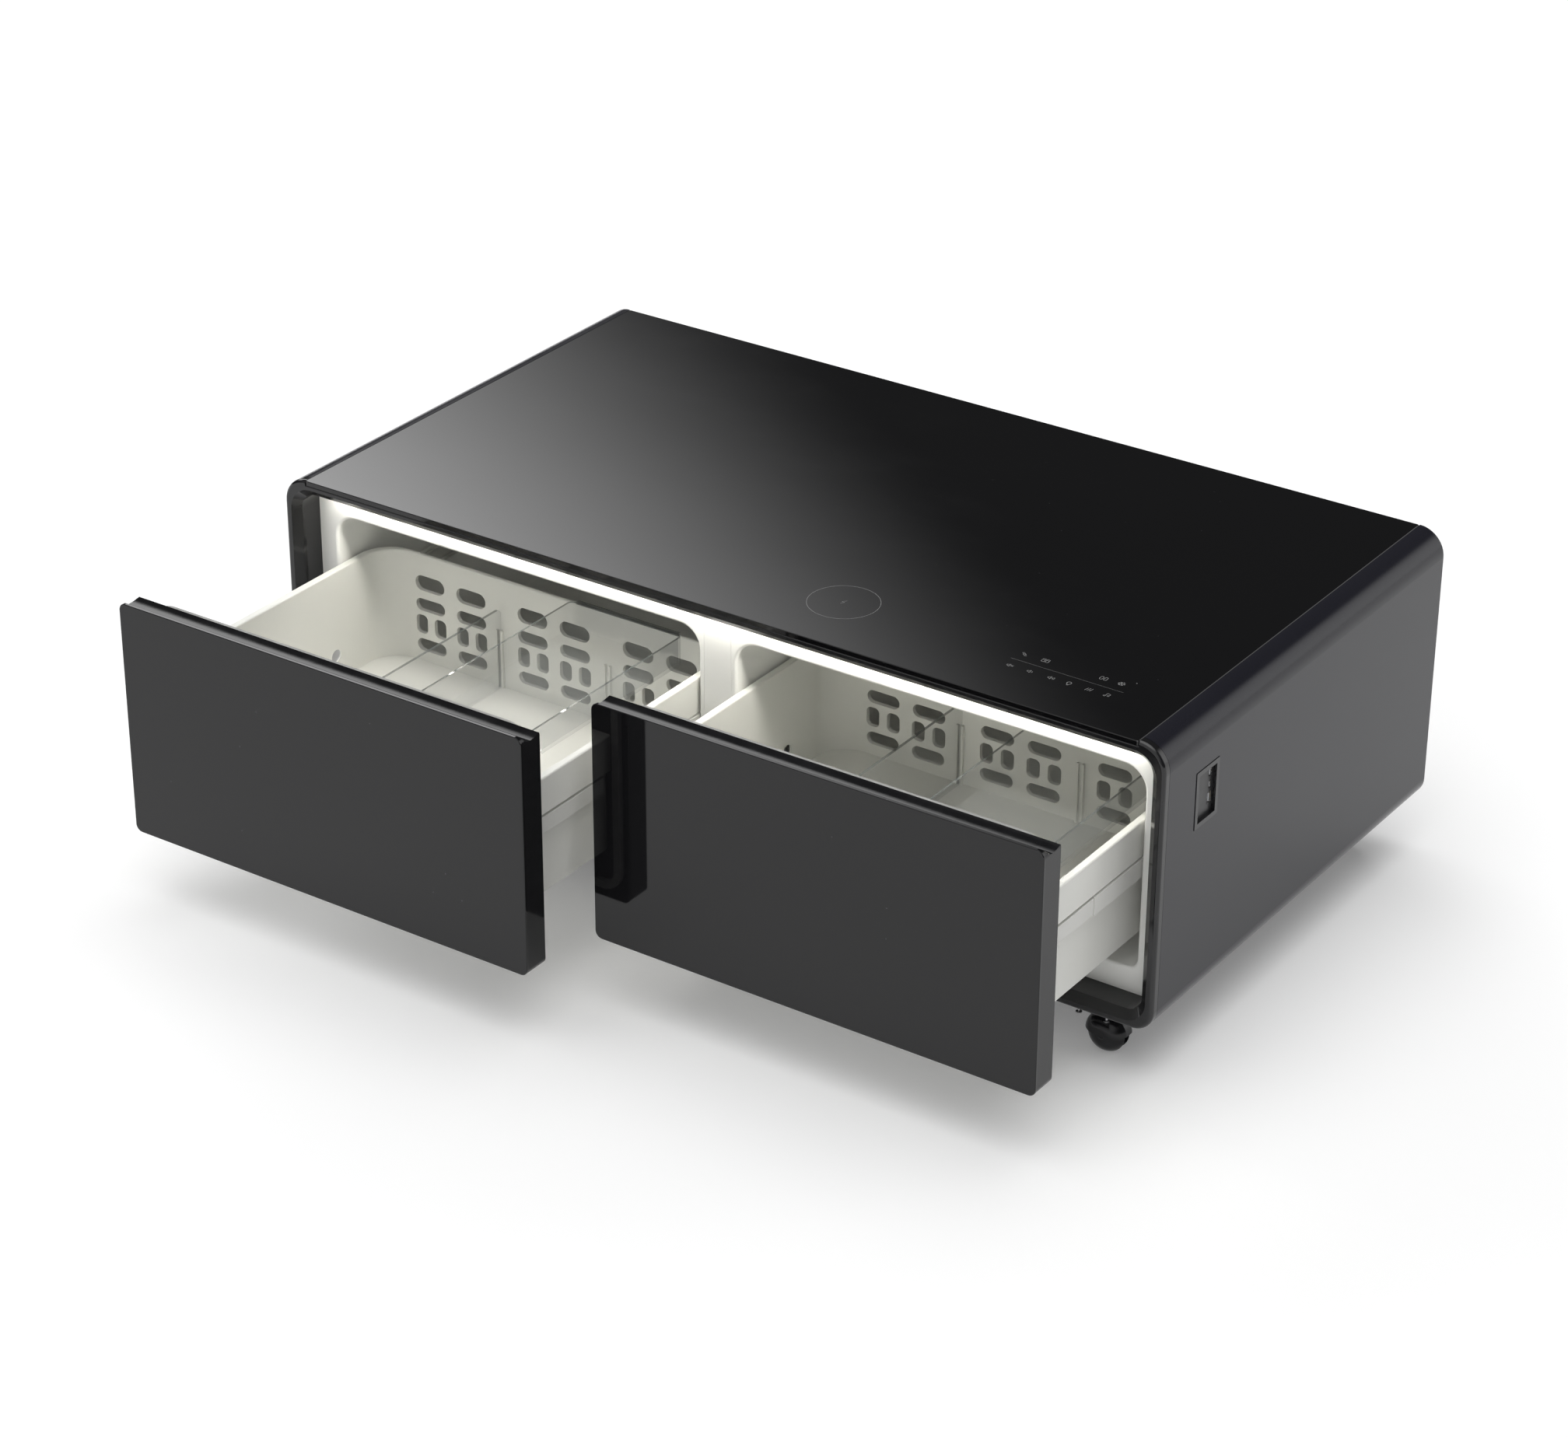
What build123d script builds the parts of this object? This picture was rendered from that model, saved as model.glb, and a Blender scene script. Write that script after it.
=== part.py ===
"""Refrigerator coffee table: a low cabinet on castors with a glass top and two cooled drawers.

Millimetres. X points right, Y points back and Z up. The origin is on the floor under the cabinet's centre.
The drawers stand open, the left one further than the right one.
"""

import os
from math import cos, pi, sin

from build123d import *

# Overall sizes
table_width = 1300.0
table_depth = 700.0
table_height = 450.0
castor_height = 70.0
top_corner_radius = 36.0
base_corner_radius = 28.0

# Shell of the cabinet
skin = 3.0
sheet = 1.5
seam = 0.5
glass_thickness = 6.0
glass_corner_radius = 3.0
glass_bevel = 0.8
deck_thickness = 10.0
deck_overhang = 12.0
base_lip = 38.0
back_inset = 4.0
return_flange = 24.0
pan_sheet = 2.0
pan_flange_height = 15.0

# Front trim frame and the recess behind it
trim_lip_depth = 12.0
trim_nose_radius = 5.0
trim_step_radius = 2.5
trim_bevel = 10.0
recess_depth = 44.0
overcut = 1.0
side_wall = 20.0
floor_wall = 19.0
roof_wall = 22.0
opening_high_radius = 24.0
opening_low_radius = 20.0
light_width = 8.0
light_height = 4.0
light_setback = 6.0
light_end_gap = 30.0

# Doors
door_side_gap = 5.0
door_floor_gap = 3.0
door_roof_gap = 16.0
door_thickness = 36.0
door_glass_thickness = 4.0
door_corner_radius = 10.0
door_glass_bevel = 0.8
scoop_middle = 18.0
scoop_depth = 9.0
scoop_rear_drop = 6.5
door_rim_wall = 16.0
door_back_plate = 4.0
core_clearance = 0.3
gasket_width = 10.0
gasket_offset = 4.0
gasket_squeeze = 0.3

# Liners and their cavities
liner_wall = 3.0
mullion_width = 56.0
mullion_cover_width = 40.0
cover_gap = 0.3
cavity_outer_wall = 48.0
cavity_floor_inset = 33.0
cavity_roof_inset = 39.0
cavity_corner_radius = 30.0
cavity_low_radius = 13.0
cavity_lip_radius = 4.0
flange_lap = 6.0
cavity_rear_gap = 9.0
foam_behind = 37.0
foam_fit = 0.3
works_bay_depth = 174.5

# Drawer boxes
left_opening = 341.0
right_opening = 220.0
box_side_gap = 3.0
box_floor_gap = 38.0
box_height = 160.0
box_side_wall = 10.5
box_end_wall = 6.0
box_floor = 4.0
box_back_radius = 50.0
box_inner_radius = 45.0
box_front_radius = 20.0
box_rim_radius = 2.0
rim_depth = 48.0
vent_pair_pitch = 168.5
vent_pitch = 68.0
vent_length = 48.0
upper_vent_height = 22.0
upper_vent_drop = 41.5
long_vent_height = 18.0
long_vent_drop = 73.0
low_vent_drop = 132.0
short_vent_width = 19.0
short_vent_height = 27.0
short_vent_radius = 7.0
short_vent_drop = 102.0
short_vent_offset = 15.3
drain_diameter = 18.0
drain_setback = 355.0
drain_drop = 120.0
divider_offset = 87.0
divider_thickness = 4.0
divider_tray_gap = 7.0
divider_clearance = 0.3
divider_corner_radius = 8.0
rib_width = 3.0
rib_depth = 4.0
rib_drop = 31.0

# Trays that hang on the drawers' front and back rims
tray_width = 176.0
tray_depth_down = 35.0
tray_wall = 3.0
tray_end_gap = 1.5
tray_lip = 3.0
tray_lip_clearance = 1.0
tray_rest_gap = 0.3
tray_corner_radius = 8.0
left_tray_shift = 118.0
right_tray_shift = 144.0

# Telescopic slides
slide_rear_gap = 40.0
slide_setback = 6.0
slide_sheet = 1.0
slide_gap = 0.3
slide_half_height = 13.5
slide_top_gap = 1.0
slide_total = 11.0
outer_flange = 7.5
middle_flange = 8.2

# Touch controls and wireless charging under the glass
touch_side = 187.0
touch_centre_y = 94.0
touch_width = 190.0
touch_depth = 70.0
touch_board_thickness = 2.0
touch_button_height = 1.0
touch_button_radius = 6.0
touch_button_columns = 6
touch_button_rows = 2
coil_centre_x = 144.0
coil_centre_y = 104.0
coil_radius = 27.0
coil_hole_radius = 10.0
coil_margin = 1.0
coil_thickness = 2.5
ferrite_thickness = 1.5

# Socket panel on the right side
socket_setback = 103.5
socket_drop = 103.0
socket_width = 53.0
socket_height = 75.0
socket_frame = 4.0
socket_proud = 0.8
socket_depth = 14.0
socket_shell = 2.0
socket_block_thickness = 8.0
port_depth = 4.5
port_shift = 13.5
port_slot_width = 8.0
port_slot_height = 12.0
port_slot_rise = 22.0
port_small_width = 5.0
port_small_height = 10.0
port_small_rise = 5.5
port_tall_width = 10.0
port_tall_height = 14.0
port_tall_rise = -12.0

# Cooling works in the rear bay
compressor_x = -400.0
compressor_radius = 62.0
compressor_height = 135.0
compressor_fillet = 22.0
foot_plate_width = 190.0
foot_plate_depth = 120.0
foot_plate_thickness = 2.5
mount_height = 14.0
mount_radius = 11.0
mount_edge = 16.0
fan_x = -210.0
fan_size = 140.0
fan_depth = 30.0
fan_bore_radius = 63.0
fan_blade_radius = 60.0
fan_hub_radius = 19.0
fan_motor_radius = 17.0
fan_motor_depth = 10.0
fan_shaft_radius = 2.5
fan_running_gap = 0.05
fan_end_gap = 0.4
fan_blades = 7
fan_blade_thickness = 2.0
fan_blade_pitch = 35.0
fan_strut = 6.0
condenser_x = -110.0
condenser_width = 90.0
condenser_height = 150.0
condenser_fins = 15
fin_pitch = 8.0
fin_thickness = 1.2
condenser_tube_radius = 4.0
pipe_radius = 3.0
pipe_bend = 18.0
suction_drop = 30.0
suction_side = 25.0
evaporator_width = 460.0
evaporator_height = 190.0
evaporator_thickness = 2.0
board_x = 180.0
board_level = 250.0
board_width = 170.0
board_height = 110.0
board_standoff = 8.0
board_thickness = 1.6
board_post_radius = 4.0
board_parts = (
    (-50.0, 20.0, 40.0, 34.0, 26.0),
    (10.0, 25.0, 26.0, 26.0, 30.0),
    (55.0, -5.0, 30.0, 60.0, 14.0),
    (-40.0, -30.0, 60.0, 16.0, 12.0),
    (20.0, -30.0, 16.0, 16.0, 22.0),
)
speaker_side = 130.0
speaker_level = 250.0
speaker_radius = 38.0
speaker_rim = 7.0
speaker_depth = 34.0
grille_pitch = 9.0
grille_hole_radius = 2.5
grille_count = 7
inlet_side = 90.0
inlet_level = 130.0
inlet_width = 48.0
inlet_height = 28.0
inlet_flange = 4.0
inlet_flange_thickness = 2.0
inlet_depth = 22.0
inlet_mouth_width = 26.0
inlet_mouth_height = 18.0
inlet_mouth_depth = 15.0
inlet_pin_width = 2.0
inlet_pin_height = 4.0
inlet_pin_length = 12.0
inlet_pin_pitch = 7.0
inlet_pin_offset = 4.0
louvre_length = 60.0
louvre_height = 5.0
louvre_pitch_x = 80.0
louvre_pitch_z = 14.0
louvre_columns = 7
louvre_rows = 8
louvre_centre_x = -160.0
louvre_level = 220.0

# Screws
screw_radius = 2.0
screw_hole_radius = 2.3
screw_head_radius = 4.0
screw_head_height = 2.2
screw_length = 5.0
panel_screw_margin = 33.0
pan_screw_columns = 6

# Castors
castor_side = 94.0
castor_front = 46.0
castor_back = 60.0
castor_plate = 50.0
castor_plate_hole_pitch = 38.0
wheel_radius = 25.0
wheel_inner_face = 5.5
wheel_outer_face = 18.5
wheel_flat = 6.0
wheel_shoulder_x = 14.0
wheel_shoulder_radius = 19.0
wheel_face_radius = 8.0
axle_radius = 3.0
axle_gap = 0.05
castor_trail = 12.0
castor_turn = -90.0
hood_clearance = 1.2
hood_wall = 2.2
hood_low_edge = 3.0
boss_radius = 12.0
boss_top = 61.5
pin_radius = 5.0
pin_gap = 0.05
pin_bottom = 50.5
neck_radius = 13.0
swivel_gap = 0.3

# Positions worked out from the sizes
half_width = table_width / 2
front = -table_depth / 2
back = table_depth / 2
body_low = castor_height
glass_half_width = half_width - top_corner_radius
glass_low = table_height - glass_thickness
deck_low = glass_low - deck_thickness
trim_back = front + trim_lip_depth
recess_back = front + recess_depth
opening_half_width = half_width - side_wall
opening_low = body_low + floor_wall
opening_high = table_height - roof_wall
pan_low = body_low + skin
pan_high = pan_low + pan_sheet
pan_half_width = half_width - base_corner_radius
pan_front = trim_back + seam
back_sheet_rear = back - back_inset
back_sheet_front = back_sheet_rear - sheet
door_half_width = (opening_half_width - 2 * door_side_gap) / 2
door_centre = door_side_gap + door_half_width
door_low = opening_low + door_floor_gap
door_high = opening_high - door_roof_gap
door_middle = (door_low + door_high) / 2
door_height = door_high - door_low
cavity_inner = mullion_width / 2
cavity_outer = half_width - cavity_outer_wall
cavity_centre = (cavity_inner + cavity_outer) / 2
cavity_half_width = (cavity_outer - cavity_inner) / 2
cavity_floor = opening_low + cavity_floor_inset
cavity_roof = opening_high - cavity_roof_inset
cavity_middle = (cavity_floor + cavity_roof) / 2
cavity_height = cavity_roof - cavity_floor
foam_back = back_sheet_front - works_bay_depth
cavity_back = foam_back - foam_behind - liner_wall
box_depth = cavity_back - cavity_rear_gap - front - door_thickness
box_half_width = cavity_half_width - box_side_gap
box_low = cavity_floor + box_floor_gap
box_high = box_low + box_height
box_inner_half = box_half_width - box_side_wall
floor_top = box_low + box_floor
rim_low = box_high - rim_depth
slide_level = rim_low - slide_top_gap - slide_half_height
slide_length = cavity_back - recess_back - slide_setback - slide_rear_gap
upper_vent_level = box_high - upper_vent_drop
long_vent_level = box_high - long_vent_drop
short_vent_level = box_high - short_vent_drop
low_vent_level = box_high - low_vent_drop
drain_level = box_high - drain_drop
slide_half = cavity_half_width - slide_total
tray_top = box_high + tray_rest_gap + tray_lip
tray_low = box_high - tray_depth_down
divider_top = tray_low - divider_tray_gap
rib_top = divider_top - rib_drop
castor_x = half_width - castor_side
castor_rows = {"front": front + castor_front, "rear": back - castor_back}
bay_middle = (foam_back + back_sheet_front) / 2
compressor_y = bay_middle
speaker_x = half_width - speaker_side
inlet_x = inlet_side - half_width
touch_centre_x = half_width - touch_side
socket_level = table_height - socket_drop
flange_low = body_low + base_corner_radius
flange_high = table_height - top_corner_radius
panel_screw_levels = (
    flange_low + panel_screw_margin,
    (flange_low + flange_high) / 2,
    flange_high - panel_screw_margin,
)
openings = {"left": left_opening, "right": right_opening}
tray_shifts = {"left": left_tray_shift, "right": right_tray_shift}
sides = {"left": -1, "right": 1}


def facing(y):
    """The upright plane at this Y; a positive extrusion from it goes towards the front."""
    return Plane.XZ.offset(-y)


def save(piece, name):
    """Label a finished piece and write its file."""
    piece.label = name
    export_step(piece, f"parts/{name}.step")


def outline(half, low, high, low_radius, high_radius, mode=Mode.ADD):
    """A front-view rectangle whose bottom corners are tighter than its top corners."""
    height = high - low
    with Locations((0, low + height / 2)):
        RectangleRounded(2 * half, height, high_radius, mode=mode)
    with Locations((0, low + height / 4)):
        RectangleRounded(2 * half, height / 2, low_radius, mode=mode)


def body_outline(inset, mode=Mode.ADD):
    """The cabinet's front-view outline, moved in by an inset."""
    outline(
        half_width - inset,
        body_low + inset,
        table_height - inset,
        base_corner_radius - inset,
        top_corner_radius - inset,
        mode,
    )


def slab(x, y, z, mode=Mode.ADD):
    """A block between two corners, given as low and high pairs."""
    with Locations(((x[0] + x[1]) / 2, (y[0] + y[1]) / 2, (z[0] + z[1]) / 2)):
        Box(x[1] - x[0], y[1] - y[0], z[1] - z[0], mode=mode)


def make_front_trim_frame():
    """The glossy ring round both doors, with its bevelled mouth and the recess walls behind."""
    with BuildPart() as front_trim_frame:
        with BuildSketch(facing(front)):
            body_outline(0)
        extrude(amount=-trim_lip_depth)
        fillet(front_trim_frame.faces().sort_by(Axis.Y)[0].edges(), trim_nose_radius)
        with BuildSketch(facing(trim_back)):
            body_outline(skin + seam)
        extrude(amount=-(recess_depth - trim_lip_depth))
        with BuildSketch(facing(front)):
            outline(opening_half_width, opening_low, opening_high, opening_low_radius, opening_high_radius)
        extrude(amount=-recess_depth, mode=Mode.SUBTRACT)
        mouth = front_trim_frame.faces().sort_by(Axis.Y)[0].inner_wires()[0].edges()
        chamfer(mouth, trim_bevel)
        glass_edge = glass_half_width + seam
        slab((-glass_edge, glass_edge), (front - overcut, recess_back + overcut), (glass_low, table_height + overcut),
             Mode.SUBTRACT)
        step = front_trim_frame.edges().filter_by(Axis.X).filter_by_position(Axis.Z, glass_low - 0.1, glass_low + 0.1)
        fillet(step.sort_by(Axis.Y)[0], trim_step_radius)
        slab((-pan_half_width - seam, pan_half_width + seam), (pan_front - seam, recess_back), (body_low, pan_high),
             Mode.SUBTRACT)
        slab(*light_space(), Mode.SUBTRACT)
    save(front_trim_frame.part, "front_trim_frame")


def light_space():
    """The channel in the recess roof that holds the light strip."""
    reach = opening_half_width - light_end_gap
    rear = recess_back - light_setback
    return (-reach, reach), (rear - light_width, rear), (opening_high, opening_high + light_height)


def make_led_strip():
    """The light strip that fills its channel."""
    with BuildPart() as led_strip:
        slab(*light_space())
    save(led_strip.part, "led_strip")


def socket_hole():
    """The box that the socket panel's shell fills, from the side panel's face inwards."""
    y = front + socket_setback
    half_y = socket_width / 2 - socket_frame
    half_z = socket_height / 2 - socket_frame
    return (
        (half_width - socket_depth, half_width),
        (y - half_y, y + half_y),
        (socket_level - half_z, socket_level + half_z),
    )


def make_side_panel(side):
    """A lacquered sheet that wraps over the top corner and under the base corner."""
    sign = sides[side]
    with BuildPart() as side_panel:
        with BuildSketch(facing(pan_front)):
            body_outline(0)
            body_outline(skin, Mode.SUBTRACT)
            with Locations((-sign * half_width, table_height / 2)):
                Rectangle(table_width, 2 * table_height, mode=Mode.SUBTRACT)
            with Locations((0, body_low)):
                Rectangle(2 * (pan_half_width - base_lip), 2 * base_corner_radius, mode=Mode.SUBTRACT)
            with Locations((0, table_height)):
                Rectangle(2 * (glass_half_width + seam), 2 * top_corner_radius, mode=Mode.SUBTRACT)
        extrude(amount=-(back - pan_front))
        inner = half_width - skin
        flange_x = sorted((sign * (inner - return_flange), sign * (inner + seam)))
        slab(
            flange_x,
            (back_sheet_front - sheet, back_sheet_front),
            (flange_low, flange_high),
        )
        if side == "right":
            slab(*socket_hole(), Mode.SUBTRACT)
        with Locations(*[Location((sign * panel_screw_x(), back_sheet_front, z), (90, 0, 0))
                         for z in panel_screw_levels]):
            Cylinder(screw_hole_radius, 4 * sheet, mode=Mode.SUBTRACT)
    save(side_panel.part, f"{side}_side_panel")


def panel_screw_x():
    """How far out the back panel's side screws stand."""
    return half_width - skin - return_flange / 2


def pan_screw_places():
    """Where the back panel's lower screws stand along X."""
    reach = pan_half_width - return_flange
    return [reach * (2 * i / (pan_screw_columns - 1) - 1) for i in range(pan_screw_columns)]


def castor_screw_places():
    """Where the castor plates' screws stand, four round each swivel axis."""
    half = castor_plate_hole_pitch / 2
    return [
        (x + i * half, y + j * half)
        for x in (-castor_x, castor_x)
        for y in castor_rows.values()
        for i in (-1, 1)
        for j in (-1, 1)
    ]


def make_base_pan():
    """The steel floor that carries the liners, the works and the castors."""
    with BuildPart() as base_pan:
        slab((-pan_half_width, pan_half_width), (pan_front, back_sheet_front), (pan_low, pan_high))
        slab(
            (-pan_half_width, pan_half_width),
            (back_sheet_front - pan_sheet, back_sheet_front),
            (pan_high, pan_high + pan_flange_height),
        )
        with Locations(*[(x, y, pan_low) for x, y in castor_screw_places()]):
            Cylinder(screw_hole_radius, 4 * pan_sheet, mode=Mode.SUBTRACT)
        with Locations(*[Location((x, back_sheet_front, pan_high + pan_flange_height / 2), (90, 0, 0))
                         for x in pan_screw_places()]):
            Cylinder(screw_hole_radius, 4 * pan_sheet, mode=Mode.SUBTRACT)
    save(base_pan.part, "base_pan")


def make_back_panel():
    """The vented sheet that closes the rear bay."""
    with BuildPart() as back_panel:
        with BuildSketch(facing(back_sheet_rear)):
            outline(
                half_width - skin - seam,
                pan_high + seam,
                glass_low,
                base_corner_radius - skin - seam,
                top_corner_radius - skin - seam,
            )
            with Locations((louvre_centre_x, louvre_level)):
                with GridLocations(louvre_pitch_x, louvre_pitch_z, louvre_columns, louvre_rows):
                    SlotOverall(louvre_length, louvre_height, mode=Mode.SUBTRACT)
            for x in (-speaker_x, speaker_x):
                with Locations((x, speaker_level)):
                    with GridLocations(grille_pitch, grille_pitch, grille_count, grille_count):
                        Circle(grille_hole_radius, mode=Mode.SUBTRACT)
            with Locations((inlet_x, inlet_level)):
                Rectangle(inlet_width, inlet_height, mode=Mode.SUBTRACT)
            with Locations(*[(sign * panel_screw_x(), z) for sign in (-1, 1) for z in panel_screw_levels]):
                Circle(screw_hole_radius, mode=Mode.SUBTRACT)
            with Locations(*[(x, pan_high + pan_flange_height / 2) for x in pan_screw_places()]):
                Circle(screw_hole_radius, mode=Mode.SUBTRACT)
        extrude(amount=sheet, dir=(0, -1, 0))
    save(back_panel.part, "back_panel")


def make_glass_top():
    """The black glass slab between the two rounded side panels."""
    with BuildPart() as glass_top:
        slab((-glass_half_width, glass_half_width), (front, back), (glass_low, table_height))
        fillet(glass_top.edges().filter_by(Axis.Z), glass_corner_radius)
        chamfer(glass_top.faces().sort_by(Axis.Z)[-1].edges(), glass_bevel)
    save(glass_top.part, "glass_top")


def touch_space():
    """The pocket in the deck under the touch symbols."""
    y = front + touch_centre_y
    deep = touch_board_thickness + touch_button_height
    return (
        (touch_centre_x - touch_width / 2, touch_centre_x + touch_width / 2),
        (y - touch_depth / 2, y + touch_depth / 2),
        (glass_low - deep, glass_low),
    )


def make_top_deck():
    """The board that carries the glass, with pockets for the touch board and the charging coil."""
    coil_deep = coil_thickness + ferrite_thickness
    reach = glass_half_width + deck_overhang
    with BuildPart() as top_deck:
        slab((-reach, reach), (recess_back, back_sheet_front), (deck_low, glass_low))
        slab(*touch_space(), Mode.SUBTRACT)
        with Locations((coil_centre_x, front + coil_centre_y, glass_low - coil_deep / 2)):
            Cylinder(coil_radius + seam, coil_deep, mode=Mode.SUBTRACT)
    save(top_deck.part, "top_deck")


def make_touch_board():
    """The circuit board whose pads sense touches through the glass."""
    (x0, x1), (y0, y1), (z0, z1) = touch_space()
    with BuildPart() as touch_board:
        slab((x0 + seam, x1 - seam), (y0 + seam, y1 - seam), (z0, z0 + touch_board_thickness))
        with Locations(((x0 + x1) / 2, (y0 + y1) / 2, z1 - touch_button_height / 2)):
            with GridLocations(touch_width / (touch_button_columns + 1), touch_depth / touch_button_rows,
                               touch_button_columns, touch_button_rows):
                Cylinder(touch_button_radius, touch_button_height)
    save(touch_board.part, "touch_board")


def make_charging_coil():
    """The wound coil on its ferrite disc, close under the glass."""
    with BuildPart() as charging_coil:
        deep = coil_thickness + ferrite_thickness
        with Locations((coil_centre_x, front + coil_centre_y, glass_low - deep + ferrite_thickness / 2)):
            Cylinder(coil_radius, ferrite_thickness)
        with Locations((coil_centre_x, front + coil_centre_y, glass_low - coil_thickness / 2)):
            Cylinder(coil_radius - coil_margin, coil_thickness)
            Cylinder(coil_hole_radius, coil_thickness, mode=Mode.SUBTRACT)
    save(charging_coil.part, "charging_coil")


def cavity_sketch(sign, grow, mode=Mode.ADD):
    """A cavity's front-view outline, grown outwards by a wall."""
    with Locations((sign * cavity_centre, 0)):
        outline(
            cavity_half_width + grow,
            cavity_floor - grow,
            cavity_roof + grow,
            cavity_low_radius + grow,
            cavity_corner_radius + grow,
            mode,
        )


def make_liner(side):
    """A white cavity with its front flange, half of the inside of the cabinet."""
    sign = sides[side]
    inner_edge = mullion_cover_width / 2 + cover_gap
    outer_edge = opening_half_width + flange_lap
    with BuildPart() as liner:
        with BuildSketch(facing(recess_back)):
            with Locations((sign * (inner_edge + outer_edge) / 2, (opening_low + opening_high) / 2)):
                Rectangle(outer_edge - inner_edge, opening_high - opening_low + 2 * flange_lap)
        extrude(amount=-liner_wall)
        with BuildSketch(facing(recess_back)):
            cavity_sketch(sign, liner_wall)
        extrude(amount=-(cavity_back + liner_wall - recess_back))
        with BuildSketch(facing(recess_back)):
            cavity_sketch(sign, 0)
        extrude(amount=-(cavity_back - recess_back), mode=Mode.SUBTRACT)
        lip = liner.faces().sort_by(Axis.Y)[0].inner_wires()[0].edges()
        fillet(lip, cavity_lip_radius)
    save(liner.part, f"{side}_liner")


def make_mullion_cover():
    """The flush strip that covers the joint between the two liners."""
    half = mullion_cover_width / 2
    with BuildPart() as mullion_cover:
        slab(
            (-half, half),
            (recess_back, recess_back + liner_wall),
            (opening_low - flange_lap, opening_high + flange_lap),
        )
    save(mullion_cover.part, "mullion_cover")


def evaporator_space(sign):
    """The flat space behind a cavity's back wall that the evaporator plate fills."""
    x = sign * cavity_centre
    rear = cavity_back + liner_wall
    return (
        (x - evaporator_width / 2, x + evaporator_width / 2),
        (rear, rear + evaporator_thickness),
        (cavity_middle - evaporator_height / 2, cavity_middle + evaporator_height / 2),
    )


def make_evaporator_plates():
    """Two flat cooling plates, one against the back of each cavity."""
    with BuildPart() as evaporator_plates:
        for sign in sides.values():
            slab(*evaporator_space(sign))
    save(evaporator_plates.part, "evaporator_plates")


def make_insulation_foam():
    """The foam that fills the space between the liners and the outer shell."""
    foam_front = recess_back + liner_wall
    reach = half_width + seam
    with BuildPart() as insulation_foam:
        with BuildSketch(facing(foam_front)):
            body_outline(skin + foam_fit)
        extrude(amount=-(foam_back - foam_front))
        slab((-reach, reach), (foam_front, foam_back), (body_low, pan_high), Mode.SUBTRACT)
        slab((-reach, reach), (foam_front, foam_back), (deck_low, table_height), Mode.SUBTRACT)
        for sign in sides.values():
            with BuildSketch(facing(foam_front)):
                cavity_sketch(sign, liner_wall + foam_fit)
            extrude(amount=-(cavity_back + liner_wall - foam_front), mode=Mode.SUBTRACT)
            slab(*evaporator_space(sign), Mode.SUBTRACT)
        (x0, _), y, z = socket_hole()
        slab(
            (x0 - foam_fit, reach),
            (y[0] - foam_fit, y[1] + foam_fit),
            (z[0] - foam_fit, z[1] + foam_fit),
            Mode.SUBTRACT,
        )
    save(insulation_foam.part, "insulation_foam")


def make_socket_bezel():
    """The socket panel's shell, with its thin frame on the side panel's face."""
    (x0, x1), y, z = socket_hole()
    with BuildPart() as socket_bezel:
        slab((x0, x1), y, z)
        slab(
            (x1, x1 + socket_proud),
            (y[0] - socket_frame, y[1] + socket_frame),
            (z[0] - socket_frame, z[1] + socket_frame),
        )
        slab(
            (x0 + socket_shell, x1 + 2 * socket_proud),
            (y[0] + socket_shell, y[1] - socket_shell),
            (z[0] + socket_shell, z[1] - socket_shell),
            Mode.SUBTRACT,
        )
    save(socket_bezel.part, "socket_bezel")


def make_port_block():
    """The block at the bottom of the socket panel, with a slot and two charging ports."""
    (x0, _), y, z = socket_hole()
    face_x = x0 + socket_shell + socket_block_thickness
    middle_y = (y[0] + y[1]) / 2 + port_shift
    middle_z = (z[0] + z[1]) / 2
    mouths = (
        (middle_z + port_slot_rise, port_slot_width, port_slot_height),
        (middle_z + port_small_rise, port_small_width, port_small_height),
        (middle_z + port_tall_rise, port_tall_width, port_tall_height),
    )
    with BuildPart() as port_block:
        slab(
            (x0 + socket_shell, face_x),
            (y[0] + socket_shell, y[1] - socket_shell),
            (z[0] + socket_shell, z[1] - socket_shell),
        )
        for level, width, height in mouths:
            slab(
                (face_x - port_depth, face_x),
                (middle_y - width / 2, middle_y + width / 2),
                (level - height / 2, level + height / 2),
                Mode.SUBTRACT,
            )
    save(port_block.part, "port_block")


def door_sketch(sign, inset, radius):
    """A door's front-view outline, moved in by an inset."""
    with Locations((sign * door_centre, door_middle)):
        RectangleRounded(2 * (door_half_width - inset), door_height - 2 * inset, radius)


def make_door_glass(side):
    """The black glass face of a door."""
    with BuildPart() as door_glass:
        with BuildSketch(facing(front - openings[side])):
            door_sketch(sides[side], 0, door_corner_radius)
        extrude(amount=-door_glass_thickness)
        chamfer(door_glass.faces().sort_by(Axis.Y)[0].edges(), door_glass_bevel)
    save(door_glass.part, f"{side}_door_glass")


def make_door_frame(side):
    """The door's tray-shaped frame, with a finger scoop along its top behind the glass."""
    sign = sides[side]
    face = front - openings[side]
    frame_depth = door_thickness - door_glass_thickness
    with BuildPart() as door_frame:
        with BuildSketch(facing(face + door_glass_thickness)):
            door_sketch(sign, 0, door_corner_radius)
        extrude(amount=-frame_depth)
        with BuildSketch(Plane.YZ.offset(sign * door_centre)):
            lip = (face + door_glass_thickness, door_high)
            lowest = (face + scoop_middle, door_high - scoop_depth)
            rear = (face + door_thickness, door_high - scoop_rear_drop)
            with BuildLine():
                TangentArc(lowest, lip, tangent=(-1, 0))
                TangentArc(lowest, rear, tangent=(1, 0))
                Polyline(rear, (rear[0], door_high), lip)
            make_face()
        extrude(amount=door_half_width, both=True, mode=Mode.SUBTRACT)
        with BuildSketch(facing(face + door_glass_thickness)):
            door_sketch(sign, door_rim_wall, door_corner_radius / 2)
        extrude(amount=-(frame_depth - door_back_plate), mode=Mode.SUBTRACT)
    save(door_frame.part, f"{side}_door_frame")


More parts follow.
